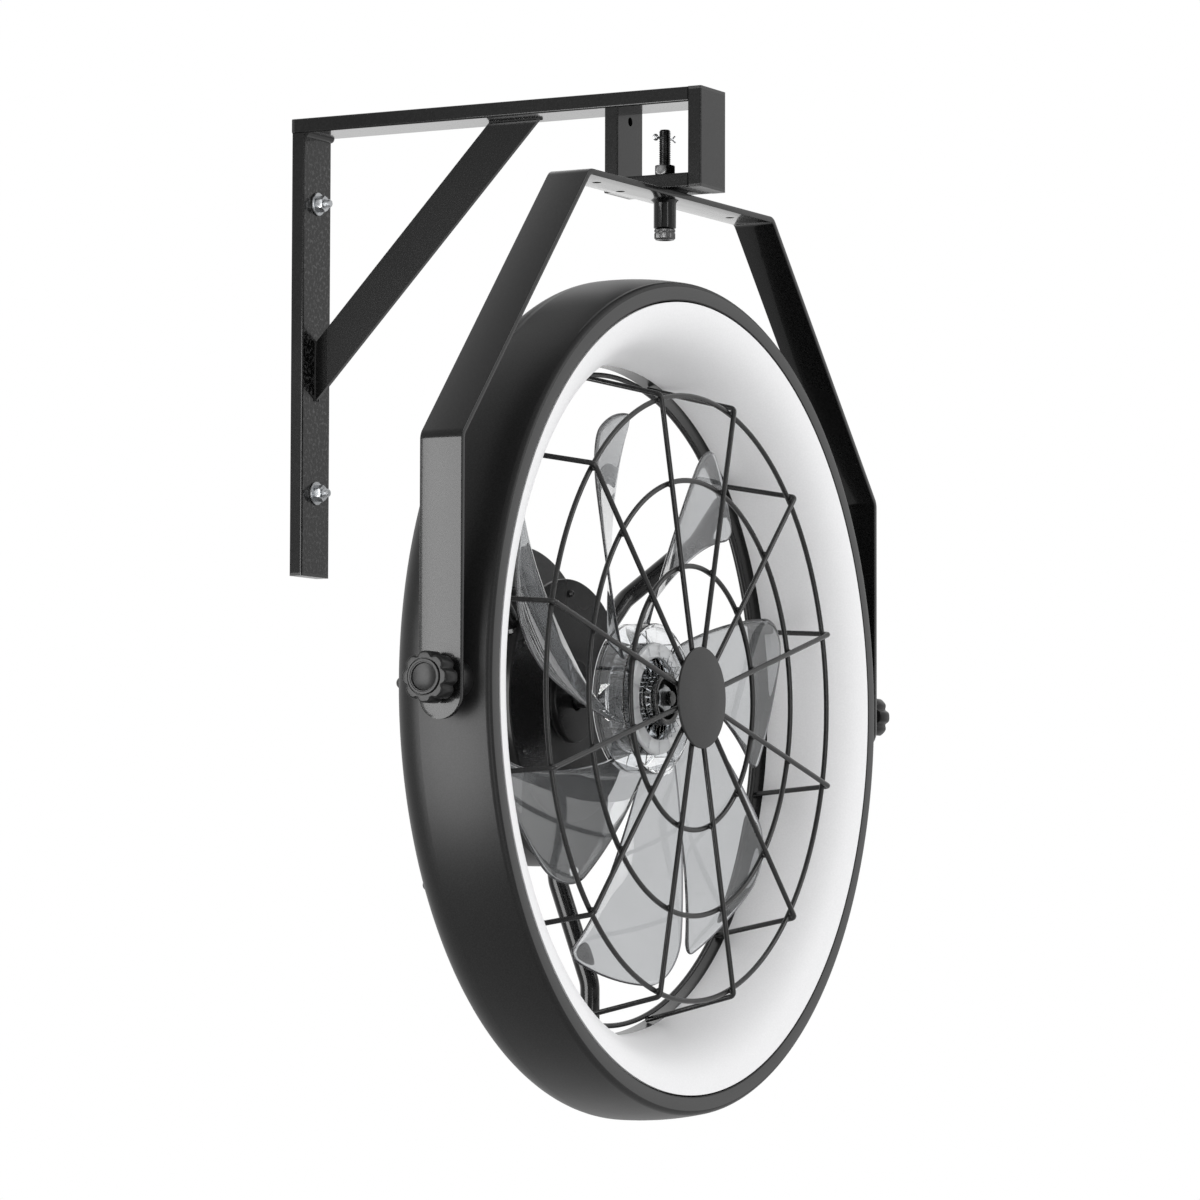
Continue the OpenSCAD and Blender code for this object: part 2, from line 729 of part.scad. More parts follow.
module wire_ring(r, y) {
    translate([0, 0, y]) rotate_extrude($fn = 128) translate([r, 0]) circle(d = wire_d, $fn = 24);
}

module guard_rings() {
    color("#1b1b1c") at_fan() for (r = [ring_r1, ring_r2, ring_r3]) wire_ring(r, ring_y);
}

module guard_rear_ring() {
    color("#1b1b1c") at_fan() wire_ring(rear_ring_r, rear_ring_y);
}

module guard_disc() {
    color("#2e2e2f") at_fan() translate([0, 0, disc_y]) cylinder(h = disc_t, r = disc_r);
}

// Tube from the motor's side out to the back plate, bent forward on the way
module support_arm(start) {
    a = [start, arm_inner_y];
    b = [arm_bend1_r, arm_inner_y];
    c = [arm_bend2_r, arm_outer_y];
    d = [arm_end_r, arm_outer_y];
    bends = concat(bend(a, b, c, arm_bend_r, 3), bend(b, c, d, arm_bend_r, 3));
    tube_along(concat([a], bends, [d]), arm_r, arm_sides);
}

module support_arms() {
    color("#1d1d1e") at_fan() {
        for (a = side_arm_angles) rotate([0, 0, -a]) support_arm(drum_r + touch_gap);
        rotate([0, 0, -low_arm_angle]) support_arm(driver_low + touch_gap);
    }
}

module motor_front_cover() {
    color("#232324") at_fan() difference() {
        union() {
            translate([0, 0, motor_y]) cylinder(h = cover_t, r = motor_r);
            translate([0, 0, motor_y - boss_h]) cylinder(h = boss_h + cover_t, r = boss_r);
            translate([0, 0, motor_y]) cylinder(h = bearing_w + cover_t, r = bearing_d / 2 + cover_t);
        }
        translate([0, 0, motor_y - boss_h - cut])
            cylinder(h = boss_h + 2 * cut, d = shaft_d + 4 * cut);
        translate([0, 0, motor_y]) cylinder(h = bearing_w + 2 * cover_t, d = bearing_d);
        round_copies(motor_screws, 30) translate([motor_screw_r, 0, motor_y - cut])
            cylinder(h = cover_t + 2 * cut, d = motor_screw_d / 2);
    }
}

module motor_drum() {
    color("#202021") at_fan() translate([0, 0, drum_front_y]) difference() {
        cylinder(h = drum_l, r = drum_r);
        translate([0, 0, -cut]) cylinder(h = drum_l + 2 * cut, r = drum_r - drum_wall);
    }
}

module motor_rear_cover() {
    color("#232324") at_fan() difference() {
        union() {
            translate([0, 0, motor_back_y]) cylinder(h = cover_t, r = rear_cover_r);
            translate([0, 0, motor_back_y - bearing_w])
                cylinder(h = bearing_w, r = bearing_d / 2 + cover_t);
        }
        translate([0, 0, motor_back_y - bearing_w - cut])
            cylinder(h = bearing_w + cut, d = bearing_d);
        translate([0, 0, motor_back_y - cut]) cylinder(h = 2 * cut, d = shaft_d + 2 * cut);
    }
}

// Laminated stator: an outer yoke with a slot between each pair of teeth
module stator_core() {
    color("#8a8c8e") at_fan() translate([0, 0, core_y]) difference() {
        cylinder(h = core_l, r = stator_r);
        translate([0, 0, -cut]) cylinder(h = core_l + 2 * cut, r = stator_in_r);
        round_copies(coil_count) translate([(stator_r + stator_in_r) / 2, 0, -cut])
            cylinder(h = core_l + 2 * cut, d = coil_d);
    }
}

module stator_coils() {
    color("#b06a35") at_fan() round_copies(coil_count)
        translate([(stator_r + stator_in_r) / 2, 0, core_y - coil_d / 8])
            cylinder(h = core_l + coil_d / 4, d = coil_d - 2 * touch_gap);
}

module bearing() {
    difference() {
        cylinder(h = bearing_w, d = bearing_d);
        translate([0, 0, -cut]) cylinder(h = bearing_w + 2 * cut, d = shaft_d + 2 * bore_fit);
    }
}

module front_bearing() {
    color("#b9bbbd") at_fan() translate([0, 0, motor_y]) bearing();
}

module rear_bearing() {
    color("#b9bbbd") at_fan() translate([0, 0, motor_back_y - bearing_w]) bearing();
}

// Closed box below the drum, its top cut to the drum's curve
module driver_box() {
    color("#232324") at_fan() translate([0, 0, driver_y]) difference() {
        intersection() {
            translate([-driver_w / 2, 0, 0]) cube([driver_w, driver_low, driver_d]);
            cylinder(h = driver_d, r = driver_low + cut);
        }
        translate([0, 0, -cut]) cylinder(h = driver_d + 2 * cut, r = drum_r);
        intersection() {
            translate([-driver_w / 2 + driver_wall, 0, driver_wall])
                cube([driver_w - 2 * driver_wall, driver_low - driver_wall, driver_d - 2 * driver_wall]);
            difference() {
                cylinder(h = driver_d, r = driver_low - driver_wall);
                cylinder(h = driver_d, r = drum_r + driver_wall);
            }
        }
    }
}

module cable_gland() {
    color("#151515") at_fan() translate([driver_w / 4, (drum_r + driver_low) / 2, motor_back_y + cover_t])
        difference() {
            union() {
                cylinder(h = gland_l / 3, d = gland_d);
                cylinder(h = gland_l, d = 0.8 * gland_d);
            }
            translate([0, 0, gland_l / 3]) cylinder(h = gland_l, d = gland_hole_d);
        }
}

module motor_screws() {
    color("#3a3b3d") at_fan() round_copies(motor_screws, 30) translate([motor_screw_r, 0, 0]) {
        translate([0, 0, motor_y - motor_screw_h]) cylinder(h = motor_screw_h, d = motor_screw_d);
        translate([0, 0, motor_y - cut / 2])
            cylinder(h = cover_t, d = motor_screw_d / 2 - 2 * touch_gap);
    }
}

module motor_shaft() {
    color("#a9abad") at_fan() translate([0, 0, shaft_front_y])
        cylinder(h = motor_back_y - shaft_front_y - touch_gap, r = shaft_r);
}

module rotor_core() {
    color("#77797c") at_fan() translate([0, 0, core_y]) difference() {
        cylinder(h = core_l, r = rotor_core_r);
        translate([0, 0, -cut]) cylinder(h = core_l + 2 * cut, r = shaft_r);
    }
}

// Clear moulded hub: outer wall, rear web, ribs and a collar round the metal core
module hub() {
    color("#a8acb0", 0.5) at_fan() {
        difference() {
            translate([0, 0, hub_y]) cylinder(h = hub_l, r = hub_r);
            translate([0, 0, hub_y - cut]) cylinder(h = hub_l + 2 * cut, r = hub_r - hub_wall);
        }
        difference() {
            union() {
                translate([0, 0, web_y]) cylinder(h = web_t, r = hub_r - hub_wall / 2);
                translate([0, 0, core_front_y]) cylinder(h = web_y - core_front_y, r = core_r + hub_wall);
                round_copies(hub_ribs) translate([core_r + hub_wall / 2, -rib_t / 2, core_front_y + rib_t])
                    cube([hub_r - core_r - hub_wall, rib_t, web_y - core_front_y - rib_t + web_t / 2]);
            }
            translate([0, 0, hub_y - cut]) cylinder(h = hub_l + 2 * cut, r = core_r);
        }
    }
}

module hub_core() {
    color("#2a2b2d") at_fan() difference() {
        union() {
            translate([0, 0, core_front_y]) cylinder(h = web_y + web_t - core_front_y, r = core_r);
            translate([0, 0, web_y + web_t]) cylinder(h = core_flange_t, r = core_flange_r);
        }
        translate([0, 0, hub_y]) cylinder(h = 2 * hub_l, r = shaft_r);
    }
}

module hub_nut() {
    color("#8b8d90") at_fan() translate([0, 0, core_front_y - shaft_nut_h]) difference() {
        hex_prism(shaft_nut_af, shaft_nut_h);
        translate([0, 0, -cut]) cylinder(h = shaft_nut_h + 2 * cut, r = shaft_r);
    }
}

// Twisted, cambered paddle with a broad rounded tip
module fan_blade() {
    rows = blade_rows;
    row = blade_cols + 1;
    side = row * (rows + 1);
    points = [for (f = [-1, 1], i = [0:rows], j = [0:blade_cols]) blade_point(i, j, f)];
    front = [for (i = [0:rows - 1], j = [0:blade_cols - 1]) let (a = i * row + j)
        each [[a, a + 1, a + row + 1], [a, a + row + 1, a + row]]];
    back = [for (f = front) [f[0] + side, f[2] + side, f[1] + side]];
    ends = [for (i = [0, rows], j = [0:blade_cols - 1])
        let (a = i * row + j, b = a + 1, far = i > 0)
        each far ? [[a, b, b + side], [a, b + side, a + side]]
            : [[b, a, a + side], [b, a + side, b + side]]];
    edges = [for (j = [0, blade_cols], i = [0:rows - 1])
        let (a = i * row + j, b = a + row, far = j > 0)
        each far ? [[b, a, a + side], [b, a + side, b + side]]
            : [[a, b, b + side], [a, b + side, a + side]]];
    polyhedron(points, concat(front, back, ends, edges));
}

module fan_blades() {
    color("#8d9195", 0.5) at_fan() round_copies(blades) fan_blade();
}

// Star knob standing on z = 0, with a ring and a recess on its face
module star_knob() {
    difference() {
        union() {
            cylinder(h = knob_base_t, r = knob_body_r - knob_lobe_r / 2);
            translate([0, 0, knob_base_t]) cylinder(h = knob_l - knob_base_t - knob_recess_t, r = knob_body_r);
            round_copies(knob_lobes) translate([knob_d / 2 - knob_lobe_r, 0, knob_base_t])
                cylinder(h = knob_l - knob_base_t - 2 * knob_recess_t, r = knob_lobe_r);
            cylinder(h = knob_l, d = knob_face_d);
        }
        translate([0, 0, knob_l - knob_recess_t]) cylinder(h = knob_l, d = knob_recess_d);
        translate([0, 0, -cut]) cylinder(h = knob_l / 2 + cut, d = stud_d);
    }
}

module knob_stud() {
    translate([0, 0, stud_reach - knob_x]) cylinder(h = knob_x - stud_reach + knob_l / 2, d = stud_d);
}

// Places the knob's axis: +Z points out of the yoke's arm
module at_knob(side) {
    translate([side * knob_x, bolt_y, fan_z]) rotate([0, side * 90, 0]) children();
}

module knob_left() {
    color("#1f1f20") at_knob(-1) star_knob();
}

module knob_left_stud() {
    color("#8b8d90") at_knob(-1) knob_stud();
}

module knob_right() {
    color("#1f1f20") at_knob(1) star_knob();
}

module knob_right_stud() {
    color("#8b8d90") at_knob(1) knob_stud();
}

wall_post();
arm_tube();
inner_strut();
bottom_bar();
end_bar();
brace();
tube_plugs();
swivel_bolt();
swivel_washer();
friction_disc();
swivel_nut();
cotter_pin();
yoke();
swivel_sleeve();
housing_shell();
back_plate();
bell_mouth();
pivot_bosses();
housing_screws();
guard_spokes();
guard_rings();
guard_rear_ring();
guard_disc();
support_arms();
motor_front_cover();
motor_drum();
motor_rear_cover();
stator_core();
stator_coils();
front_bearing();
rear_bearing();
driver_box();
cable_gland();
motor_screws();
motor_shaft();
rotor_core();
hub();
hub_core();
hub_nut();
fan_blades();
knob_left();
knob_left_stud();
knob_right();
knob_right_stud();
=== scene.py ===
# Wall mounted fan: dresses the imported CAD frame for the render. All lengths are in metres.
import math

import bmesh
import bpy
from mathutils import Matrix, Vector

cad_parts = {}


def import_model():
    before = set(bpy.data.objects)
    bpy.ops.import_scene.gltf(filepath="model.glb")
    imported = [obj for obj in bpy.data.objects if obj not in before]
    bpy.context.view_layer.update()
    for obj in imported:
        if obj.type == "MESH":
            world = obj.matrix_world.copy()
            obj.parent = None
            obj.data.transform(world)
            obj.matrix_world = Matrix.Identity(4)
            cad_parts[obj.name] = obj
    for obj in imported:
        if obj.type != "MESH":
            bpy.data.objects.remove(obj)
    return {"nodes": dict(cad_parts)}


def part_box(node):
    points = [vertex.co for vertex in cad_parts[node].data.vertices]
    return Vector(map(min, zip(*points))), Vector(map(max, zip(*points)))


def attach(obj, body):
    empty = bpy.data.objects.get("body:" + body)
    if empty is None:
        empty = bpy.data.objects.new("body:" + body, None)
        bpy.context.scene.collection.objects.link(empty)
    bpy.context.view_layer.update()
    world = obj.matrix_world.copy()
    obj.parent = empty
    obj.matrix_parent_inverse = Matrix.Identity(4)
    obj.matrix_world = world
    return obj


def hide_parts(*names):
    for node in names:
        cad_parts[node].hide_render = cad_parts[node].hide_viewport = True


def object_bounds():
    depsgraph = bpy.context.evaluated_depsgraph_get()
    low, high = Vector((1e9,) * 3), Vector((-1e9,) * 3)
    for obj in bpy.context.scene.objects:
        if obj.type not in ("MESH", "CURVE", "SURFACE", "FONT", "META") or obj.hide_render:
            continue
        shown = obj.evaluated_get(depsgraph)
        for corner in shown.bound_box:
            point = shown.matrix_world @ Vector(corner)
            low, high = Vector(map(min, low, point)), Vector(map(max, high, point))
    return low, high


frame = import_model()
cad_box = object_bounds()

MM = 0.001
TURN = 2 * math.pi

# Places read from the frame
shell_low, shell_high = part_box("housing_shell")
yoke_low, yoke_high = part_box("yoke")
SHELL_R = (shell_high[0] - shell_low[0]) / 2
SHELL_DEPTH = shell_high[1] - shell_low[1]
RIM_Y = shell_low[1]
FAN_Z = (shell_high[2] + shell_low[2]) / 2
YOKE_HALF = yoke_high[0]
YOKE_TOP = yoke_high[2]
YOKE_FOOT = yoke_low[2]
STRAP_W = yoke_high[1] - yoke_low[1]
BOLT_Y = (yoke_high[1] + yoke_low[1]) / 2
WALL_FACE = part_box("wall_post")[0][1]

FAN = Matrix.Translation((0, RIM_Y, FAN_Z)) @ Matrix.Rotation(-math.pi / 2, 4, "X")
BOLT = Matrix.Translation((0, BOLT_Y, 0))

# Camera, fitted to the photograph of 1200 x 1200 pixels
CAMERA_PLACE = (-3.1689, -1.9552, -0.4174)
VIEW_AZIMUTH = math.radians(61.47)
VIEW_ELEVATION = math.radians(3.77)
VIEW_ROLL = math.radians(0.16)
FOCAL_PIXELS = 5424.8
PHOTO_PIXELS = 1200
SENSOR_MM = 36


# Materials. Noise scales count features per metre, and most noise values lie in NOISE_SPAN

NOISE_SPAN = (0.3, 0.7)
GLOSS_SCALE = 9.0
TARNISH_SCALE = 160.0
FLOW_SCALE = 22.0
COAT_GRAIN_DEPTH = 0.12 * MM
METAL_GRAIN_DEPTH = 0.08 * MM
METAL_RELIEF = 0.12
FLOW_DEPTH = 0.4 * MM
FLOW_RELIEF = 0.03
COOL_TINT = 1.01


def new_material(name, metallic=0.0, specular=0.5, transmission=0.0, ior=1.5):
    """A new material with one Principled shader, ready for its procedural nodes."""
    material = bpy.data.materials.new(name)
    material.use_nodes = True
    nodes = material.node_tree.nodes
    links = material.node_tree.links
    shader = nodes["Principled BSDF"]
    shader.inputs["Metallic"].default_value = metallic
    shader.inputs["Specular IOR Level"].default_value = specular
    shader.inputs["Transmission Weight"].default_value = transmission
    shader.inputs["IOR"].default_value = ior
    place = nodes.new("ShaderNodeTexCoord")
    return material, nodes, links, shader, place.outputs["Object"]


def noise(nodes, links, place, scale, detail=3.0):
    """Noise fixed to the object, its values about 0 to 1."""
    texture = nodes.new("ShaderNodeTexNoise")
    texture.inputs["Scale"].default_value = scale
    texture.inputs["Detail"].default_value = detail
    links.new(place, texture.inputs["Vector"])
    return texture.outputs["Fac"]


def ramp(nodes, links, source, low, high, dark, light):
    """Maps source from low..high to the colours dark..light."""
    node = nodes.new("ShaderNodeValToRGB")
    node.color_ramp.elements[0].position = low
    node.color_ramp.elements[1].position = high
    node.color_ramp.elements[0].color = (*dark, 1)
    node.color_ramp.elements[1].color = (*light, 1)
    links.new(source, node.inputs["Fac"])
    return node.outputs["Color"]


def spread(nodes, links, source, low, high):
    """Maps a noise to low..high."""
    node = nodes.new("ShaderNodeMapRange")
    node.inputs["From Min"].default_value = NOISE_SPAN[0]
    node.inputs["From Max"].default_value = NOISE_SPAN[1]
    node.inputs["To Min"].default_value = low
    node.inputs["To Max"].default_value = high
    links.new(source, node.inputs["Value"])
    return node.outputs["Result"]


def bump(nodes, links, shader, source, strength, distance):
    """Gives the shader a relief that follows source."""
    node = nodes.new("ShaderNodeBump")
    node.inputs["Strength"].default_value = strength
    node.inputs["Distance"].default_value = distance
    links.new(source, node.inputs["Height"])
    links.new(node.outputs["Normal"], shader.inputs["Normal"])


def grey(value):
    """A grey a little cooler than neutral."""
    return (value, value, value * COOL_TINT)


def coated(name, dark, light, rough_low, rough_high, specular, grain, relief, speck=(0.35, 0.75)):
    """Powder coat or moulded plastic: fine grain in colour and relief, gloss that wanders a little. The
    grain's colour can also carry painted glints of light.
    """
    material, nodes, links, shader, place = new_material(name, specular=specular)
    fine = noise(nodes, links, place, grain, detail=2.0)
    broad = noise(nodes, links, place, GLOSS_SCALE)
    links.new(ramp(nodes, links, fine, *speck, grey(dark), grey(light)), shader.inputs["Base Color"])
    links.new(spread(nodes, links, broad, rough_low, rough_high), shader.inputs["Roughness"])
    bump(nodes, links, shader, fine, relief, COAT_GRAIN_DEPTH)
    return material


def add_clear_coat(material):
    """A thin smooth layer that mirrors over the coat's grain."""
    inputs = material.node_tree.nodes["Principled BSDF"].inputs
    inputs["Coat Weight"].default_value = 1.0
    inputs["Coat IOR"].default_value = 1.2
    inputs["Coat Roughness"].default_value = 0.06


def metal(name, dark, light, rough_low, rough_high, grain):
    """Bare metal: patches in colour, fine grain in gloss and relief."""
    material, nodes, links, shader, place = new_material(name, metallic=1.0)
    fine = noise(nodes, links, place, grain, detail=4.0)
    broad = noise(nodes, links, place, TARNISH_SCALE)
    links.new(ramp(nodes, links, broad, *NOISE_SPAN, dark, light), shader.inputs["Base Color"])
    links.new(spread(nodes, links, fine, rough_low, rough_high), shader.inputs["Roughness"])
    bump(nodes, links, shader, fine, METAL_RELIEF, METAL_GRAIN_DEPTH)
    return material


def clear(name, tint_low, tint_high, rough_low, rough_high, transmission, ior):
    """Clear moulded plastic with faint flow lines."""
    material, nodes, links, shader, place = new_material(name, transmission=transmission, ior=ior)
    flow = noise(nodes, links, place, FLOW_SCALE)
    links.new(ramp(nodes, links, flow, *NOISE_SPAN, tint_low, tint_high), shader.inputs["Base Color"])
    links.new(spread(nodes, links, flow, rough_low, rough_high), shader.inputs["Roughness"])
    bump(nodes, links, shader, flow, FLOW_RELIEF, FLOW_DEPTH)
    return material


# Coated: darkest and lightest grey, lowest and highest roughness, specular level, grain scale, relief
POWDER = coated("powder_black", 0.003, 0.012, 0.20, 0.28, 0.10, 750.0, 0.24)
# Painted glints: lighter specks for the post's front face, standing in for its grain catching the front
# light; the relief is the real grain
SPECKLED_GLINTS = coated("powder_speckled_glints", 0.002, 0.065, 0.20, 0.28, 0.10, 400.0, 0.60, speck=(0.50, 0.68))
add_clear_coat(POWDER)
add_clear_coat(SPECKLED_GLINTS)
SHELL = coated("shell_black", 0.007, 0.016, 0.34, 0.42, 0.15, 1100.0, 0.14)
# Painted sheen: a lighter, glossier copy of the shell coat for the ring's front face, where the front
# light falls
SHELL_FRONT_SHEEN = coated("shell_front_painted_sheen", 0.013, 0.025, 0.30, 0.38, 0.40, 1100.0, 0.14)
MOTOR = coated("motor_black", 0.006, 0.012, 0.22, 0.30, 0.11, 900.0, 0.10)
KNOB = coated("knob_black", 0.006, 0.014, 0.26, 0.36, 0.13, 800.0, 0.14)
REAR = coated("rear_cover_black", 0.020, 0.034, 0.30, 0.38, 0.30, 1000.0, 0.15)
WIRE = coated("wire_black", 0.008, 0.018, 0.22, 0.32, 0.30, 900.0, 0.15)
DISC = coated("disc_black", 0.016, 0.030, 0.44, 0.52, 0.30, 1300.0, 0.20)
PLASTIC = coated("plastic_black", 0.006, 0.014, 0.22, 0.34, 0.42, 700.0, 0.10)
WHITE = coated("satin_white", 0.78, 0.82, 0.38, 0.46, 0.15, 800.0, 0.05)
RUBBER = coated("rubber_black", 0.010, 0.020, 0.60, 0.72, 0.25, 900.0, 0.25)
# Metal: darkest and lightest colour, lowest and highest roughness, grain scale
ZINC = metal("zinc_steel", (0.50, 0.51, 0.53), (0.68, 0.69, 0.70), 0.20, 0.36, 700.0)
DARK_STEEL = metal("dark_steel", (0.05, 0.05, 0.05), (0.11, 0.11, 0.11), 0.22, 0.34, 800.0)
CORE_STEEL = metal("core_steel", (0.30, 0.31, 0.32), (0.42, 0.43, 0.44), 0.30, 0.45, 500.0)
COPPER = metal("copper_wire", (0.62, 0.27, 0.12), (0.78, 0.38, 0.20), 0.28, 0.40, 900.0)
# Clear: lowest and highest tint, lowest and highest roughness, transmission, refractive index
SMOKY = clear("smoky_clear", (0.50, 0.51, 0.52), (0.53, 0.54, 0.55), 0.0, 0.01, 0.90, 1.46)
# Painted shade: a dark copy of the smoky plastic for the blades' rims, where the edges bend the light
# away
SMOKY_EDGE_SHADE = clear("smoky_edge_painted_shade", (0.08, 0.08, 0.09), (0.12, 0.12, 0.13), 0.0, 0.01, 0.90, 1.46)
CLEAR = clear("hub_clear", (0.90, 0.91, 0.92), (0.95, 0.96, 0.97), 0.0, 0.01, 1.0, 1.49)
FROST = clear("hub_frost", (0.92, 0.93, 0.94), (0.96, 0.97, 0.98), 0.04, 0.10, 0.55, 1.49)


# Meshes

SHARP_ANGLE = 35


def arc(cx, cy, r, a0, a1, steps):
    """Points on an arc about (cx, cy), its angles in degrees."""
    angles = [math.radians(a0 + (a1 - a0) * i / steps) for i in range(steps + 1)]
    return [(cx + r * math.cos(a), cy + r * math.sin(a)) for a in angles]


def axis_place(origin, axis):
    """A place whose Z points along axis."""
    return Matrix.Translation(origin) @ Vector(axis).to_track_quat("Z", "Y").to_matrix().to_4x4()


def turned(place, profile, count):
    """Rings round the place's Z axis. A radius is a number or a function of the angle."""
    rings = []
    for radius, height in profile:
        ring = []
        for k in range(count):
            a = TURN * k / count
            r = radius(a) if callable(radius) else radius
            ring.append(place @ Vector((r * math.cos(a), r * math.sin(a), height)))
        rings.append(ring)
    return rings


def add_loft(bm, rings, loop=False):
    """Skins rings of equal count, and caps the ends where they don't form a loop."""
    rows = [[bm.verts.new(point) for point in ring] for ring in rings]
    following = rows[1:] + rows[:1] if loop else rows[1:]
    for a, b in zip(rows, following):
        for i in range(len(a)):
            j = (i + 1) % len(a)
            bm.faces.new((a[i], a[j], b[j], b[i]))
    if not loop:
        bm.faces.new(rows[0][::-1])
        bm.faces.new(rows[-1])


def add_tube(bm, points, radius, sides=16):
    """Round tube along points, without twist."""
    points = [Vector(p) for p in points]
    rings = []
    side = None
    for i, point in enumerate(points):
        ahead = points[min(i + 1, len(points) - 1)]
        behind = points[max(i - 1, 0)]
        along = (ahead - behind).normalized()
        if side is None:
            side = along.orthogonal().normalized()
        side = (side - along * side.dot(along)).normalized()
        up = along.cross(side)
        angles = [TURN * k / sides for k in range(sides)]
        rings.append([point + radius * (side * math.cos(a) + up * math.sin(a)) for a in angles])
    add_loft(bm, rings)


def rounded_path(corners, radius, steps=10):
    """A path through corners, each inner corner an arc of the radius."""
    corners = [Vector(c) for c in corners]
    path = [corners[0]]
    for before, corner, after in zip(corners, corners[1:], corners[2:]):
        came = (corner - before).normalized()
        goes = (after - corner).normalized()
        bend = came.angle(goes)
        start = corner - came * radius * math.tan(bend / 2)
        inward = (goes - came * goes.dot(came)).normalized()
        for i in range(steps + 1):
            a = bend * i / steps
            path.append(start + came * radius * math.sin(a) + inward * radius * (1 - math.cos(a)))
    path.append(corners[-1])
    return path


def smooth(mesh, sharp):
    """Shades the mesh smooth, but for edges over the sharp angle in degrees."""
    mesh.polygons.foreach_set("use_smooth", [True] * len(mesh.polygons))
    mesh.set_sharp_from_angle(angle=math.radians(sharp))


def to_object(name, bm):
    """Moves the mesh into a new object of the scene."""
    mesh = bpy.data.meshes.new(name)
    bm.to_mesh(mesh)
    bm.free()
    made = bpy.data.objects.new(name, mesh)
    bpy.context.scene.collection.objects.link(made)
    return made


def piece(name, bm, material, body, slot, *nodes, sharp=SHARP_ANGLE):
    """Makes a piece of the mesh, on its body, in place of the CAD nodes that it replaces."""
    bmesh.ops.recalc_face_normals(bm, faces=bm.faces)
    made = to_object(name, bm)
    smooth(made.data, sharp)
    made.data.materials.append(material)
    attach(made, body)
    if nodes:
        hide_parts(*nodes)
    return made


def lathe_piece(name, profile, material, body, slot, *nodes, count=192, loop=True):
    """A piece turned about the fan's axis."""
    bm = bmesh.new()
    add_loft(bm, turned(FAN, profile, count), loop)
    return piece(name, bm, material, body, slot, *nodes)


def dress(material, *nodes):
    """Gives CAD nodes a finished material in their own slots."""
    for node in nodes:
        mesh = frame["nodes"][node].data
        if not mesh.materials:
            mesh.materials.append(material)
        for i in range(len(mesh.materials)):
            mesh.materials[i] = material


def paint_lit_front(mesh, material, forward, back_y=math.inf):
    """Gives faces in front of back_y, their normal's Y below forward, a material of their own that
    paints the light falling on them.
    """
    mesh.materials.append(material)
    for face in mesh.polygons:
        if face.normal.y < forward and face.center.y < back_y:
            face.material_index = len(mesh.materials) - 1


def around(place, count, first=0.0):
    """Places turned round the place's axis, with angles as seen from the front."""
    return [place @ Matrix.Rotation(-(first + TURN * k / count), 4, "Z") for k in range(count)]


# Housing

RIM_IN_R = 262 * MM
CROWN_R = 190 * MM
CROWN_Y = 40 * MM
REAR_CORNER_R = 27 * MM
RIM_CORNER_R = 4 * MM
SHELL_T = 2 * MM
EDGE_R = 0.8 * MM
CROWN_C = SHELL_R - CROWN_R
REAR_C_Y = SHELL_DEPTH - REAR_CORNER_R
REAR_C_R = CROWN_C + math.sqrt((CROWN_R - REAR_CORNER_R) ** 2 - (REAR_C_Y - CROWN_Y) ** 2)
RIM_C_R = CROWN_C + math.sqrt((CROWN_R - RIM_CORNER_R) ** 2 - (CROWN_Y - RIM_CORNER_R) ** 2)
RIM_ANGLE = math.degrees(math.atan2(RIM_CORNER_R - CROWN_Y, RIM_C_R - CROWN_C))
REAR_ANGLE = math.degrees(math.atan2(REAR_C_Y - CROWN_Y, REAR_C_R - CROWN_C))
REAR_LIP_W = 14.8 * MM
REAR_LIP_R = REAR_C_R - REAR_LIP_W
RIM_FACE_T = 0.1 * MM
SHELL_SIDES = 256


def shell_side(t):
    """The ring's outer side from rim to rear, t inside its surface."""
    return (arc(RIM_C_R, RIM_CORNER_R, RIM_CORNER_R - t, -90, RIM_ANGLE, 8)
            + arc(CROWN_C, CROWN_Y, CROWN_R - t, RIM_ANGLE, REAR_ANGLE, 28)
            + arc(REAR_C_R, REAR_C_Y, REAR_CORNER_R - t, REAR_ANGLE, 90, 16))


def housing_shell():
    """The ring's skin, its front face with a lighter, glossier material of its own, a painted sheen
    where the front light falls.
    """
    rim_edge = arc(RIM_IN_R + EDGE_R, EDGE_R, EDGE_R, -180, -90, 5)
    rear_edge = arc(REAR_LIP_R + EDGE_R, SHELL_DEPTH - EDGE_R, EDGE_R, 90, 180, 5)
    back = [(REAR_LIP_R, SHELL_DEPTH - SHELL_T)] + shell_side(SHELL_T)[::-1] + [(RIM_IN_R, SHELL_T)]
    shell = lathe_piece("housing_skin", rim_edge + shell_side(0) + rear_edge + back, SHELL, "head",
                        "black_shell", "housing_shell", count=SHELL_SIDES)
    # The forward-facing rim takes the lighter coat, a painted sheen of the front light
    paint_lit_front(shell.data, SHELL_FRONT_SHEEN, -0.99, RIM_Y + RIM_FACE_T)


THROAT_R = 222 * MM
THROAT_Y = 59 * MM
BACK_PLATE_Y = 72.35 * MM
BELL_R = 261 * MM
BELL_T = 2 * MM
NEST_R = 24.85 * MM
NEST_ANGLE = 72
COLLAR_BEND_R = 1.2 * MM


def back_plate():
    """Collar round the throat, with a flat ring that nests in the shell's rear corner."""
    profile = [(THROAT_R, THROAT_Y), (THROAT_R + SHELL_T, THROAT_Y)]
    profile += [(THROAT_R + SHELL_T, BACK_PLATE_Y - SHELL_T)]
    profile += arc(REAR_C_R, REAR_C_Y, NEST_R - SHELL_T, 90, NEST_ANGLE, 5)
    profile += arc(REAR_C_R, REAR_C_Y, NEST_R, NEST_ANGLE, 90, 5)
    profile += arc(THROAT_R + COLLAR_BEND_R, BACK_PLATE_Y - COLLAR_BEND_R, COLLAR_BEND_R, 90, 180, 5)
    lathe_piece("back_plate_pressing", profile, PLASTIC, "head", "black_shell", "back_plate",
                count=SHELL_SIDES)


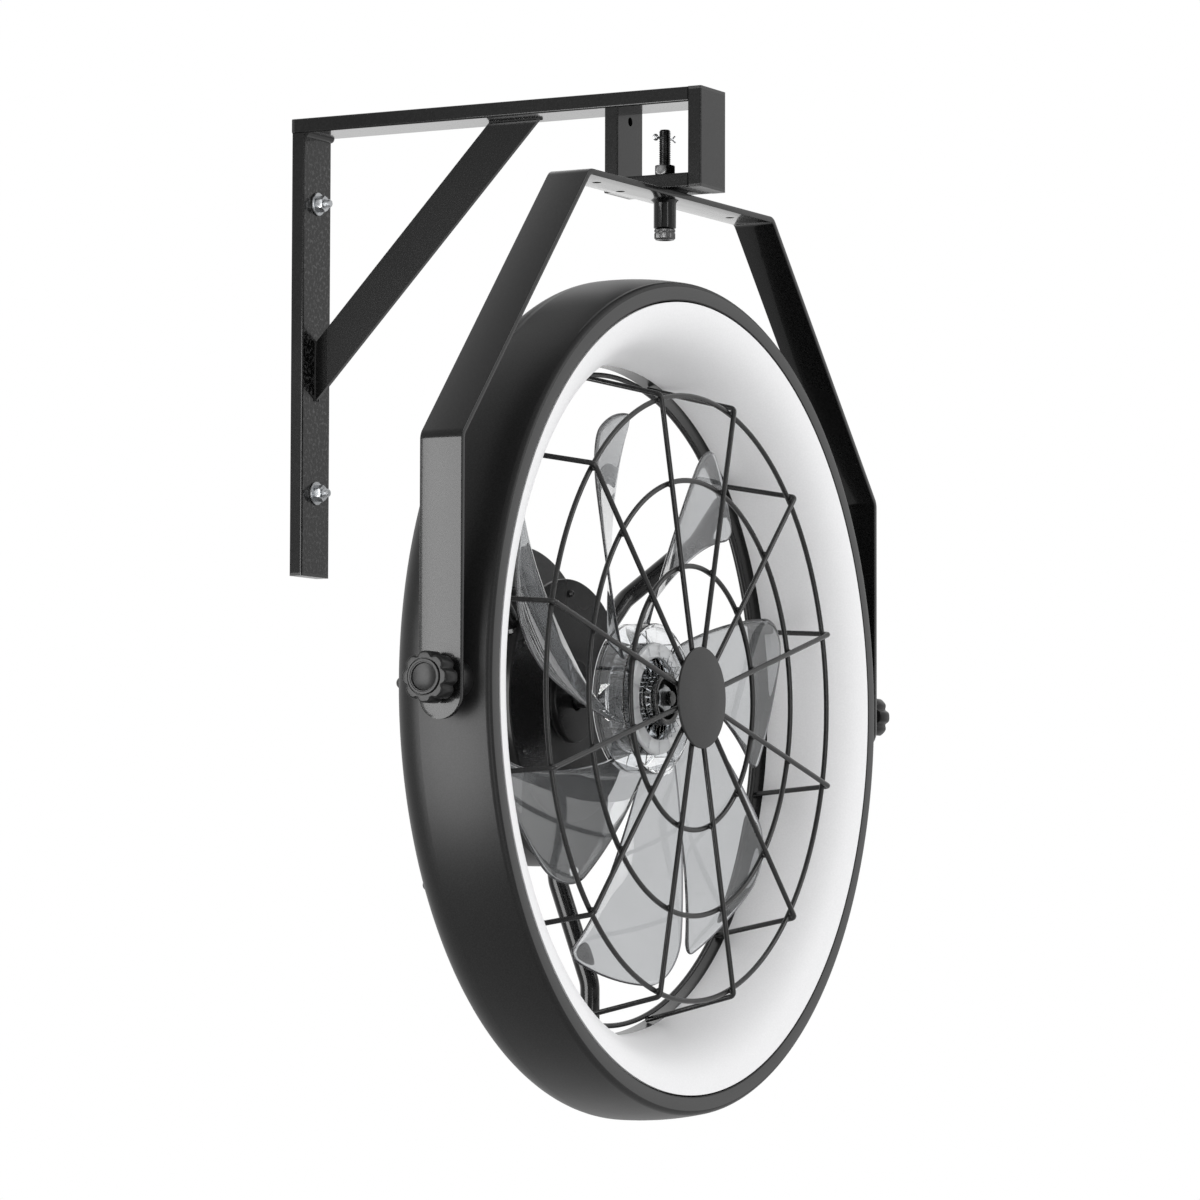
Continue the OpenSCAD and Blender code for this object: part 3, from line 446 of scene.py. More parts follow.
def bell_mouth():
    """Quarter-round funnel from the rim to the throat."""
    rise = BELL_R - THROAT_R

    def contour(t, steps=40):
        angles = [math.pi / 2 * (1 - i / steps) for i in range(steps + 1)]
        return [(BELL_R - (rise - t) * math.cos(a), THROAT_Y - (THROAT_Y - t) * math.sin(a))
                for a in angles]

    lathe_piece("bell_mouth_skin", contour(0) + contour(BELL_T)[::-1], WHITE, "head",
                "white_plastic", "bell_mouth", count=SHELL_SIDES)


SCREW_COUNT = 12
SCREW_HEAD_D = 8 * MM
SCREW_HEAD_H = 3.4 * MM
SCREW_SHANK_D = 4 * MM
SCREW_SHANK_L = 6 * MM
SCREW_R = REAR_C_R + 0.5 * MM

# Shape of a button head, in shares of its radius, diameter or height
DOME_SINK = 0.55
DOME_ANGLE = 62
HEAD_SIDE = 0.3
SOCKET_RIM = 0.42
SOCKET_WIDTH = 1 / 3
SOCKET_DEPTH = 0.5


def hexagon(across_flats):
    """Radius of a hexagon at an angle."""
    return lambda a: across_flats / 2 / math.cos((a + math.pi / 6) % (math.pi / 3) - math.pi / 6)


def add_button_screw(bm, place, head_d, head_h, shank_d, shank_l):
    """Domed head with a hexagon socket, its shank below zero."""
    r = head_d / 2
    dome = arc(0, head_h - r * DOME_SINK, r, 0, DOME_ANGLE, 6)
    profile = [(shank_d / 2, -shank_l), (shank_d / 2, 0), (r, 0)]
    profile += [(x, max(y, HEAD_SIDE * head_h)) for x, y in dome]
    top = profile[-1][1]
    socket = hexagon(head_d * SOCKET_WIDTH)
    profile += [(SOCKET_RIM * r, top), (socket, top), (socket, top - SOCKET_DEPTH * head_h)]
    add_loft(bm, turned(place, profile, 24))


def housing_screws():
    """Screws round the ring's rear edge."""
    bm = bmesh.new()
    for spot in around(FAN, SCREW_COUNT):
        place = spot @ Matrix.Translation((SCREW_R, 0, SHELL_DEPTH))
        add_button_screw(bm, place, SCREW_HEAD_D, SCREW_HEAD_H, SCREW_SHANK_D, SCREW_SHANK_L)
    piece("housing_screws_made", bm, PLASTIC, "head", "black_plastic", "housing_screws")


PIVOT_BOSS_R = 13 * MM
PIVOT_FLANGE_R = 16.9 * MM
PIVOT_FLANGE_T = 3 * MM
PIVOT_FLANGE_X = 272 * MM
PIVOT_BOSS_X = 290.3 * MM
STUD_BORE_R = 4.05 * MM


def pivot_bosses():
    """Flanged bosses in the ring's sides, which take the knobs' studs."""
    bm = bmesh.new()
    for side in (-1, 1):
        place = axis_place((0, BOLT_Y, FAN_Z), (side, 0, 0))
        inner_x = PIVOT_FLANGE_X - PIVOT_FLANGE_T
        profile = [(STUD_BORE_R, inner_x), (PIVOT_FLANGE_R, inner_x)]
        profile += [(PIVOT_FLANGE_R, PIVOT_FLANGE_X), (PIVOT_BOSS_R, PIVOT_FLANGE_X)]
        profile += arc(PIVOT_BOSS_R - MM, PIVOT_BOSS_X - MM, MM, 0, 90, 5)
        profile += [(STUD_BORE_R, PIVOT_BOSS_X)]
        add_loft(bm, turned(place, profile, 64), loop=True)
    piece("pivot_bosses_turned", bm, PLASTIC, "head", "black_plastic", "pivot_bosses")


# Wire guard

WIRE_D = 3.5 * MM
SPOKES = 12
GUARD_R = 203 * MM
SPOKE_IN_R = 20.8 * MM
RINGS = [199.45 * MM, 143.5 * MM, 87 * MM]
SPOKE_Y = -1.49 * MM
WIRE_GAP = 0.05 * MM
RING_Y = SPOKE_Y + WIRE_D + WIRE_GAP
SPOKE_END_R = THROAT_R - WIRE_D / 2 - WIRE_GAP
SPOKE_END_Y = THROAT_Y + 2.2 * WIRE_D
SPLAY = math.atan2(SPOKE_END_R - GUARD_R, SPOKE_END_Y - SPOKE_Y)
REAR_RING_Y = SPOKE_END_Y - WIRE_D / 2
REAR_RING_R = SPOKE_END_R - WIRE_D / 2 * math.tan(SPLAY) - (WIRE_D + WIRE_GAP) / math.cos(SPLAY)
WELD_R = 0.55 * WIRE_D
WELD_STRETCH = (1.15, 1.15, 0.8, 1)
DISC_R = 33.5 * MM
DISC_CORE_R = 0.4 * DISC_R
DISC_T = 2 * MM
DISC_EDGE_R = 0.7 * MM


def ring_wire(r, y):
    """Rings of a round wire that runs round the fan's axis."""
    return turned(FAN, arc(r, y, WIRE_D / 2, 0, 330, 11), 192)


def guard():
    """Spokes, rings and spot welds of the wire guard, and its centre disc."""
    spots = around(FAN, SPOKES, math.pi / SPOKES)
    corners = [(SPOKE_IN_R, 0, SPOKE_Y), (GUARD_R, 0, SPOKE_Y), (SPOKE_END_R, 0, SPOKE_END_Y)]
    path = rounded_path(corners, WIRE_D, 8)
    bm = bmesh.new()
    for spot in spots:
        add_tube(bm, [spot @ p for p in path], WIRE_D / 2)
    piece("guard_spoke_wires", bm, WIRE, "head", "black_wire", "guard_spokes")

    bm = bmesh.new()
    for r in RINGS:
        add_loft(bm, ring_wire(r, RING_Y), loop=True)
    piece("guard_ring_wires", bm, WIRE, "head", "black_wire", "guard_rings")

    bm = bmesh.new()
    add_loft(bm, ring_wire(REAR_RING_R, REAR_RING_Y), loop=True)
    piece("guard_rear_wire", bm, WIRE, "head", "black_wire", "guard_rear_ring")

    # Spot welds, where a spoke crosses a ring
    bm = bmesh.new()
    joint_y = (SPOKE_Y + RING_Y) / 2
    for spot in spots:
        for r in RINGS:
            centre = spot @ Matrix.Translation((r, 0, joint_y)) @ Matrix.Diagonal(WELD_STRETCH)
            bmesh.ops.create_icosphere(bm, subdivisions=2, radius=WELD_R, matrix=centre)
    piece("guard_spot_welds", bm, WIRE, "head", "black_wire")

    front = SPOKE_Y - WIRE_D / 2 - WIRE_GAP - DISC_T
    edge_r = DISC_R - DISC_EDGE_R
    profile = [(DISC_CORE_R, front + DISC_T), (edge_r, front + DISC_T)]
    profile += arc(edge_r, front + DISC_T - DISC_EDGE_R, DISC_EDGE_R, 90, 0, 4)
    profile += arc(edge_r, front + DISC_EDGE_R, DISC_EDGE_R, 0, -90, 4)
    profile += [(DISC_CORE_R, front)]
    lathe_piece("guard_cap", profile, DISC, "head", "black_shell", "guard_disc", count=96, loop=False)


# Rotor

BLADES = 7
TIP_R = 190 * MM
HUB_R = 50 * MM
HUB_Y = 28 * MM
HUB_L = 23 * MM
FRONT_EDGE = (42 * MM, 64 * MM)
REAR_EDGE = (25 * MM, -47 * MM)
# How the rear edge widens: evenly, and toward the tip alone
REAR_WIDENING = (0.7, 0.3)
FRONT_ROUND = 30 * MM
REAR_ROUND = 12 * MM
BLADE_Y = (24 * MM, 50 * MM)
BLADE_T = 2.2 * MM
BLADE_MARGIN = 1.2 * BLADE_T
BLADE_CAMBER = 4 * MM
BLADE_ROWS = 36
BLADE_COLS = 24
# The rim of a blade painted dark, as shade where the edges bend the light away, in rows at its tip and
# columns at its edges
SHADE_RIM_ROWS = 3
SHADE_RIM_COLS = 2
# How squarely the thickness ends at the edges and at the tip
EDGE_POWER = 16
TIP_POWER = 90


def blade_edges(r):
    """The front and rear edges at radius r, as distances round the axis from the middle line."""
    u = (r - HUB_R) / (TIP_R - HUB_R)
    front = FRONT_EDGE[0] + (FRONT_EDGE[1] - FRONT_EDGE[0]) * (1 - (1 - u) ** 2)
    even, late = REAR_WIDENING
    rear = REAR_EDGE[0] + (REAR_EDGE[1] - REAR_EDGE[0]) * (even * u + late * u ** 4)
    return front, rear


def corner_cut(r, corner_r):
    """What a rounded tip corner takes off an edge."""
    over = max(0, r - (TIP_R - corner_r))
    return corner_r - math.sqrt(max(0, corner_r ** 2 - over ** 2))


def blade_depth(r, round_by):
    """Depth of the middle surface: steep at the hub, flatter and cambered toward the tip."""
    u = (r - HUB_R) / (TIP_R - HUB_R)
    front, rear = blade_edges(r)
    t = (front - round_by) / (front - rear)
    root_y0 = HUB_Y + BLADE_MARGIN
    root_y1 = HUB_Y + HUB_L - BLADE_MARGIN
    front_y = root_y0 + (BLADE_Y[0] - root_y0) * (1 - (1 - u) ** 2)
    rear_y = root_y1 + (BLADE_Y[1] - root_y1) * u
    return front_y + (rear_y - front_y) * t + BLADE_CAMBER * u * t * (1 - t)


def add_face(bm, *corners):
    """A face without its repeated corners."""
    distinct = []
    for corner in corners:
        if corner not in distinct:
            distinct.append(corner)
    return bm.faces.new(distinct)


def add_blade(bm, place):
    """Twisted paddle whose two skins meet in a rounded edge."""
    skins = []
    for side in (-1, 1):
        rows = []
        for i in range(BLADE_ROWS + 1):
            v = math.sin(math.pi / 2 * i / BLADE_ROWS)
            r = HUB_R + (TIP_R - HUB_R) * v
            front, rear = blade_edges(r)
            front -= corner_cut(r, FRONT_ROUND)
            rear += corner_cut(r, REAR_ROUND)
            row = []
            for j in range(BLADE_COLS + 1):
                w = -math.cos(math.pi * j / BLADE_COLS)
                at_edge = j in (0, BLADE_COLS) or i == BLADE_ROWS
                if at_edge and skins:
                    row.append(skins[0][i][j])
                    continue
                round_by = (front + rear) / 2 - w * (front - rear) / 2
                a = round_by / r
                thick = BLADE_T / 2 * math.sqrt((1 - abs(w) ** EDGE_POWER) * (1 - v ** TIP_POWER))
                depth = blade_depth(r, round_by) + (0 if at_edge else side * thick)
                row.append(bm.verts.new(place @ Vector((r * math.cos(a), -r * math.sin(a), depth))))
            rows.append(row)
        skins.append(rows)
    for rows in skins:
        for i in range(BLADE_ROWS):
            near, far = rows[i], rows[i + 1]
            for j in range(BLADE_COLS):
                face = add_face(bm, near[j], near[j + 1], far[j + 1], far[j])
                # Faces at the edges and the tip take the second material, the painted edge shade
                if j < SHADE_RIM_COLS or j >= BLADE_COLS - SHADE_RIM_COLS or i >= BLADE_ROWS - SHADE_RIM_ROWS:
                    face.material_index = 1
    front, back = skins
    for j in range(BLADE_COLS):
        add_face(bm, front[0][j], front[0][j + 1], back[0][j + 1], back[0][j])


def fan_blades():
    """Clear blades, their rims painted darker as shade where the edges bend the light away."""
    bm = bmesh.new()
    for spot in around(FAN, BLADES):
        add_blade(bm, spot)
    blades = piece("blade_set", bm, SMOKY, "rotor", "clear_plastic", "fan_blades", sharp=60)
    blades.data.materials.append(SMOKY_EDGE_SHADE)


HUB_WALL = 2.5 * MM
HUB_LIP_R = 1.1 * MM
CORE_R = 24 * MM
WEB_Y = HUB_Y + HUB_L - 5 * MM
WEB_T = 2.5 * MM
RIB_T = 1.6 * MM
THIN_RIB_T = 0.8 * MM
NECK_R = 17.6 * MM
NECK_FRONT_Y = 20.5 * MM
NECK_BACK_Y = 45.5 * MM
RECESS_R = 14 * MM
RECESS_Y = 28 * MM
# Places of the neck's grooves, in shares of its length
NECK_GROOVES = (0.15, 0.27, 0.39, 0.51, 0.63)
NECK_GROOVE = 0.5 * MM
HUB_RINGS = [27.5 * MM, 36.5 * MM]
HUB_RING_FRONTS = [HUB_Y + 5 * MM, HUB_Y + 1.5 * MM]
HUB_RING_HALF_T = 0.9 * MM
FINS = 28
FIN_SPAN = [NECK_FRONT_Y + 3.5 * MM, HUB_Y + 6.5 * MM]
BAND_FRONT_Y = HUB_Y - 0.5 * MM
BAND_L = 3 * MM
BAND_OVERLAP = 0.5 * MM


def add_rib(bm, place, r0, r1, y0, y1, thick):
    """A flat rib standing between two radii."""
    section = ((-thick / 2, y0), (thick / 2, y0), (thick / 2, y1), (-thick / 2, y1))
    add_loft(bm, [[place @ Vector((x, y, z)) for y, z in section] for x in (r0, r1)])


def hub():
    """Clear hub: outer wall and rear web in one, two inner rings, ribs, and fins round the neck."""
    wall_r = HUB_R - HUB_WALL
    lip_r = HUB_R - HUB_LIP_R
    profile = arc(lip_r, HUB_Y + HUB_LIP_R, HUB_LIP_R, 0, -90, 4)
    profile += [(wall_r, HUB_Y + 0.2 * MM), (wall_r, WEB_Y), (CORE_R + HUB_WALL, WEB_Y)]
    profile += [(CORE_R, WEB_Y), (CORE_R, WEB_Y + WEB_T)]
    profile += [(wall_r, WEB_Y + WEB_T), (wall_r, HUB_Y + HUB_L)]
    profile += arc(lip_r, HUB_Y + HUB_L - HUB_LIP_R, HUB_LIP_R, 90, 0, 4)
    bm = bmesh.new()
    add_loft(bm, turned(FAN, profile, 160), loop=True)
    for r, front in zip(HUB_RINGS, HUB_RING_FRONTS):
        half_t = HUB_RING_HALF_T
        ring = arc(r, front + half_t, half_t, 180, 360, 8)
        ring += [(r + half_t, WEB_Y + 0.2 * MM), (r - half_t, WEB_Y + 0.2 * MM)]
        add_loft(bm, turned(FAN, ring, 128), loop=True)
    for spot in around(FAN, BLADES):
        add_rib(bm, spot, HUB_RINGS[1], wall_r + 0.5 * MM, HUB_Y + 4 * MM, WEB_Y, RIB_T)
    for spot in around(FAN, 2 * BLADES, TURN / 4 / BLADES):
        add_rib(bm, spot, *HUB_RINGS, HUB_Y - MM, WEB_Y, THIN_RIB_T)
    for spot in around(FAN, FINS):
        add_rib(bm, spot, NECK_R, HUB_RINGS[0], *FIN_SPAN, THIN_RIB_T)
    piece("hub_moulding", bm, CLEAR, "rotor", "clear_plastic", "hub")

    # Frosted band between the two inner rings
    inner_r = HUB_RINGS[0] - BAND_OVERLAP
    outer_r = HUB_RINGS[1] + BAND_OVERLAP
    profile = arc(inner_r + MM, BAND_FRONT_Y + MM, MM, 180, 270, 5)
    profile += arc(outer_r - MM, BAND_FRONT_Y + MM, MM, 270, 360, 5)
    profile += [(outer_r, BAND_FRONT_Y + BAND_L), (inner_r, BAND_FRONT_Y + BAND_L)]
    lathe_piece("hub_band", profile, FROST, "rotor", "clear_plastic", count=128)


SHAFT_R = 5 * MM
SHAFT_FRONT_Y = HUB_Y - 0.48 * HUB_L
SHAFT_BACK_Y = 129.95 * MM
CORE_FLANGE_R = 33 * MM
CORE_FLANGE_T = 2.4 * MM
HUB_NUT_AF = 17 * MM
HUB_NUT_H = 6 * MM
HUB_NUT_CORNER_R = 9.1 * MM
HUB_NUT_FACE_R = 8.2 * MM


def grooves(r, front, back, shares, groove):
    """Flat-bottomed grooves in a profile of radius r, at shares of the way from front to back."""
    profile = []
    for share in shares:
        y = front + (back - front) * share
        profile += [(r, y - 2 * groove), (r - groove, y - groove)]
        profile += [(r - groove, y + groove), (r, y + 2 * groove)]
    return profile


def hub_core():
    """Dark steel core with a grooved neck and a recessed front, its nut, and the motor's shaft."""
    profile = [(RECESS_R, NECK_FRONT_Y + 0.6 * MM)]
    profile += arc(NECK_R - MM, NECK_FRONT_Y + MM, MM, -90, 0, 4)
    profile += grooves(NECK_R, NECK_FRONT_Y, NECK_BACK_Y, NECK_GROOVES, NECK_GROOVE)
    profile += [(NECK_R, NECK_BACK_Y), (CORE_R, NECK_BACK_Y)]
    flange_y = WEB_Y + WEB_T
    profile += [(CORE_R, flange_y), (CORE_FLANGE_R, flange_y)]
    profile += [(CORE_FLANGE_R, flange_y + CORE_FLANGE_T), (SHAFT_R, flange_y + CORE_FLANGE_T)]
    profile += [(SHAFT_R, RECESS_Y), (RECESS_R, RECESS_Y)]
    lathe_piece("hub_core_turned", profile, DARK_STEEL, "rotor", "dark_steel", "hub_core", count=96)

    # Nut that holds the hub on the shaft
    flats = hexagon(HUB_NUT_AF)
    front = RECESS_Y - HUB_NUT_H

    def chamfered(a):
        return min(flats(a), HUB_NUT_CORNER_R)

    profile = [(SHAFT_R, front), (HUB_NUT_FACE_R, front), (chamfered, front + 0.8 * MM)]
    profile += [(flats, front + 1.5 * MM), (flats, RECESS_Y), (SHAFT_R, RECESS_Y)]
    lathe_piece("hub_nut_made", profile, CORE_STEEL, "rotor", "dark_steel", "hub_nut", count=72)

    profile = [(SHAFT_R - MM, SHAFT_FRONT_Y), (SHAFT_R, SHAFT_FRONT_Y + MM)]
    profile += [(SHAFT_R, SHAFT_BACK_Y - MM), (SHAFT_R - MM, SHAFT_BACK_Y)]
    lathe_piece("motor_shaft_turned", profile, DARK_STEEL, "rotor", "dark_steel", "motor_shaft",
                count=48, loop=False)


# Motor

MOTOR_Y = 94.6 * MM
MOTOR_BACK_Y = 130 * MM
MOTOR_R = 81.5 * MM
DRUM_R = 78 * MM
DRUM_WALL = 2.5 * MM
COVER_T = 3 * MM
BOSS_R = 28 * MM
BOSS_H = 5 * MM
REAR_COVER_R = 104.6 * MM
FRONT_BORE_R = 7 * MM
REAR_BORE_R = 6 * MM
COVER_EDGE_R = 1.2 * MM
# Radii between which the rear cover slopes, in shares of its own
REAR_SLOPE = [0.62, 0.60]
# Places of the drum's grooves, in shares of its length
DRUM_GROOVES = (0.18, 0.82)
DRUM_GROOVE = 0.6 * MM


def motor_housing():
    """Front cover with a round boss, grooved drum and wide rear cover."""
    edge = COVER_EDGE_R
    front = MOTOR_Y - BOSS_H
    profile = [(FRONT_BORE_R, front)]
    profile += arc(BOSS_R - edge, front + edge, edge, -90, 0, 4)
    profile += arc(BOSS_R + edge, MOTOR_Y - edge, edge, 180, 90, 4)
    profile += arc(MOTOR_R - edge, MOTOR_Y + edge, edge, -90, 0, 4)
    profile += [(MOTOR_R, MOTOR_Y + COVER_T), (FRONT_BORE_R, MOTOR_Y + COVER_T)]
    lathe_piece("motor_front_cover_pressing", profile, MOTOR, "head", "black_shell", "motor_front_cover")

    front = MOTOR_Y + COVER_T
    profile = [(DRUM_R - DRUM_WALL, front), (DRUM_R, front)]
    profile += grooves(DRUM_R, front, MOTOR_BACK_Y, DRUM_GROOVES, DRUM_GROOVE)
    profile += [(DRUM_R, MOTOR_BACK_Y), (DRUM_R - DRUM_WALL, MOTOR_BACK_Y)]
    lathe_piece("motor_drum_shell", profile, MOTOR, "head", "black_shell", "motor_drum")

    outer_r, inner_r = [share * REAR_COVER_R for share in REAR_SLOPE]
    profile = [(REAR_BORE_R, MOTOR_BACK_Y)]
    profile += arc(REAR_COVER_R - edge, MOTOR_BACK_Y + edge, edge, -90, 90, 8)
    profile += [(outer_r, MOTOR_BACK_Y + 2 * edge), (inner_r, MOTOR_BACK_Y + COVER_T)]
    profile += [(REAR_BORE_R, MOTOR_BACK_Y + COVER_T)]
    lathe_piece("motor_rear_cover_pressing", profile, REAR, "head", "black_shell", "motor_rear_cover")


MOTOR_SCREWS = 6
MOTOR_SCREW_TURN = math.radians(30)
MOTOR_SCREW_R = 0.88 * MOTOR_R
# Head diameter and height, shank diameter and length
MOTOR_SCREW_SIZE = [5 * MM, 1.7 * MM, 2.9 * MM, 2.5 * MM]


def motor_screws():
    """Screws round the motor's front cover."""
    bm = bmesh.new()
    for spot in around(FAN, MOTOR_SCREWS, MOTOR_SCREW_TURN):
        place = spot @ Matrix.Translation((MOTOR_SCREW_R, 0, MOTOR_Y)) @ Matrix.Rotation(math.pi, 4, "X")
        add_button_screw(bm, place, *MOTOR_SCREW_SIZE)
    piece("motor_screws_made", bm, PLASTIC, "head", "dark_steel", "motor_screws")


ARM_D = 13 * MM
ARM_INNER_Y = 104 * MM
ARM_OUTER_Y = BACK_PLATE_Y + ARM_D / 2
ARM_BENDS = [REAR_COVER_R + 1.1 * ARM_D, THROAT_R - 2.6 * ARM_D]
ARM_END_R = REAR_LIP_R - 0.1 * ARM_D
ARM_SIDES = 28
DRIVER_LOW = 110 * MM
# Angle of each arm in degrees, and the radius where it starts: on the drum, or under the driver box
ARMS = [(38, DRUM_R), (142, DRUM_R), (270, DRIVER_LOW)]


def support_arms():
    """Bent tubes from the motor to the back plate, each with a weld at its inner end."""
    bm = bmesh.new()
    for angle, start in ARMS:
        spot = FAN @ Matrix.Rotation(-math.radians(angle), 4, "Z")
        corners = [(start, 0, ARM_INNER_Y), (ARM_BENDS[0], 0, ARM_INNER_Y)]
        corners += [(ARM_BENDS[1], 0, ARM_OUTER_Y), (ARM_END_R, 0, ARM_OUTER_Y)]
        add_tube(bm, [spot @ p for p in rounded_path(corners, 2 * ARM_D)], ARM_D / 2, ARM_SIDES)
        weld = [(ARM_D / 2 + 1.6 * MM, 0), (ARM_D / 2 + MM, 0.9 * MM), (ARM_D / 2, 2 * MM)]
        foot = spot @ Matrix.Translation((start, 0, ARM_INNER_Y)) @ Matrix.Rotation(math.pi / 2, 4, "Y")
        add_loft(bm, turned(foot, weld, ARM_SIDES))
    piece("support_arm_tubes", bm, POWDER, "head", "black_paint", "support_arms")


# Yoke

STRAP_T = 4 * MM
YOKE_TOP_HALF = 131.5 * MM
YOKE_SHOULDER = 184.6 * MM
STRAP_BEND_R = 8 * MM
STRAP_EDGE = 0.55 * MM
PLATE_HOLES = [(-94.7 * MM, 0), (94.7 * MM, 0), (-51.3 * MM, 6 * MM)]
PLATE_HOLE_D = 6 * MM


def strap_section(point, out, half_w):
    """Rounded rectangle across the strap: half_w each way in Y, the strap's thickness along out."""
    half_t = STRAP_T / 2
    edge = min(STRAP_EDGE, 0.5 * half_w)
    ring = []
    for sy, st, start in ((1, 1, 0), (-1, 1, 90), (-1, -1, 180), (1, -1, 270)):
        for u, v in arc(sy * (half_w - edge), st * (half_t - edge), edge, start, start + 90, 3):
            ring.append(point + Vector((0, u, 0)) + out * v)
    return ring


def cut_away(target, cutter):
    """Subtracts the cutter from the target's mesh."""
    change = target.modifiers.new("cut", "BOOLEAN")
    change.operation = "DIFFERENCE"
    change.object = cutter
    change.solver = "EXACT"
    depsgraph = bpy.context.evaluated_depsgraph_get()
    mesh = bpy.data.meshes.new_from_object(target.evaluated_get(depsgraph))
    target.modifiers.clear()
    target.data = mesh
    smooth(mesh, SHARP_ANGLE)
    bpy.data.objects.remove(cutter)


def yoke():
    """Bent strap with round feet, and three holes through its top."""
    slope = math.atan2(YOKE_SHOULDER, YOKE_HALF - YOKE_TOP_HALF)
    half_t = STRAP_T / 2
    top_x = YOKE_TOP_HALF - half_t * math.tan(slope / 2)
    low_x = YOKE_HALF - half_t
    shoulder_z = YOKE_TOP - YOKE_SHOULDER - half_t * math.tan((math.pi / 2 - slope) / 2)
    round_r = STRAP_W / 2
    ends = [round_r * (1 - math.cos(math.radians(a))) for a in range(9, 90, 9)]
    left = [Vector((-low_x, BOLT_Y, YOKE_FOOT + d)) for d in ends]
    corners = [(-low_x, BOLT_Y, YOKE_FOOT + round_r), (-low_x, BOLT_Y, shoulder_z)]
    corners += [(-top_x, BOLT_Y, YOKE_TOP - half_t), (top_x, BOLT_Y, YOKE_TOP - half_t)]
    corners += [(low_x, BOLT_Y, shoulder_z), (low_x, BOLT_Y, YOKE_FOOT + round_r)]
    right = [Vector((low_x, BOLT_Y, p.z)) for p in left[::-1]]
    path = left + rounded_path(corners, STRAP_BEND_R) + right
    rings = []
    for i, point in enumerate(path):
        along = (path[min(i + 1, len(path) - 1)] - path[max(i - 1, 0)]).normalized()
        out = Vector((-along.z, 0, along.x))
        d = min(point.z - YOKE_FOOT, round_r)
        rings.append(strap_section(point, out, math.sqrt(round_r ** 2 - (round_r - d) ** 2)))
    bm = bmesh.new()
    add_loft(bm, rings)
    strap = piece("yoke_strap", bm, POWDER, "yoke", "black_paint", "yoke")

    holes = bmesh.new()
    for x, y in PLATE_HOLES:
        place = Matrix.Translation((x, BOLT_Y + y, YOKE_TOP))
        rings = turned(place, [(PLATE_HOLE_D / 2, -2 * STRAP_T), (PLATE_HOLE_D / 2, STRAP_T)], 40)
        add_loft(holes, rings)
    bmesh.ops.recalc_face_normals(holes, faces=holes.faces)
    cut_away(strap, to_object("holes", holes))


# Swivel bolt, from the head below the yoke to the tail in the bracket's frame

BOLT_D = 8 * MM
BOLT_PITCH = 1.25 * MM
SLEEVE_D = 15 * MM
SLEEVE_L = 19 * MM
SLEEVE_BORE_R = BOLT_D / 2 + 0.05 * MM
SLEEVE_EDGE = 0.6 * MM
HEAD_D = 14 * MM
HEAD_H = 7.4 * MM
HEAD_EDGE = 0.9 * MM
KNURLS = 36
KNURL_DEPTH = 0.25 * MM
# Heights between which the head is knurled, with a plain groove between the two bands
KNURL_BANDS = [(1.1 * MM, 4.4 * MM), (5.3 * MM, HEAD_H - 0.6 * MM)]
NUT_AF = 13 * MM
NUT_H = 6.5 * MM
NUT_BORE_R = BOLT_D / 2 - 0.4 * MM
WASHER_D = 17 * MM
WASHER_T = 1.6 * MM
WASHER_EDGE = 0.25
# Thread: sides, steps for each turn, and depth and the tip's chamfer in shares of the pitch
THREAD_SIDES = 28
THREAD_STEPS = 8
THREAD_DEPTH = 0.55
THREAD_TIP = 0.8
# Nut: radius of its face, of its cut corners, and height of the cut, in shares of its width
NUT_FACE = 0.49955
NUT_CORNER = 0.55
NUT_CUT = 0.07


def add_thread(bm, place, diameter, pitch, low, high):
    """Rod with a real helical thread and a chamfered tip."""
    steps = round((high - low) / pitch * THREAD_STEPS)
    rings = []
    for i in range(steps + 1):
        z = low + (high - low) * i / steps
        tip = max(0, pitch - (high - z))
        ring = []
        for k in range(THREAD_SIDES):
            a = TURN * k / THREAD_SIDES
            wave = abs((z / pitch - a / TURN) % 1 * 2 - 1)
            r = diameter / 2 - max(THREAD_DEPTH * pitch * wave, THREAD_TIP * tip)
            ring.append(place @ Vector((r * math.cos(a), r * math.sin(a), z)))
        rings.append(ring)
    add_loft(bm, rings)


def add_nut(bm, place, across_flats, height, bore_r):
    """Hexagon nut with its corners turned off at both faces."""
    flats = hexagon(across_flats)
    face_r = NUT_FACE * across_flats
    cut = NUT_CUT * across_flats

    def corner(a):
        return min(flats(a), NUT_CORNER * across_flats)

    profile = [(bore_r, 0), (face_r, 0), (corner, 0.6 * cut), (flats, cut), (flats, height - cut)]
    profile += [(corner, height - 0.6 * cut), (face_r, height), (bore_r + 0.5 * MM, height)]
    profile += [(bore_r, height - 0.5 * MM)]
    add_loft(bm, turned(place, profile, 72), loop=True)


def add_washer(bm, place, diameter, thick, bore_r):
    """Flat washer with its outer edges cut off."""
    r = diameter / 2
    edge = WASHER_EDGE * thick
    profile = [(bore_r, 0), (r - edge, 0), (r, edge)]
    profile += [(r, thick - edge), (r - edge, thick), (bore_r, thick)]
    add_loft(bm, turned(place, profile, 56), loop=True)


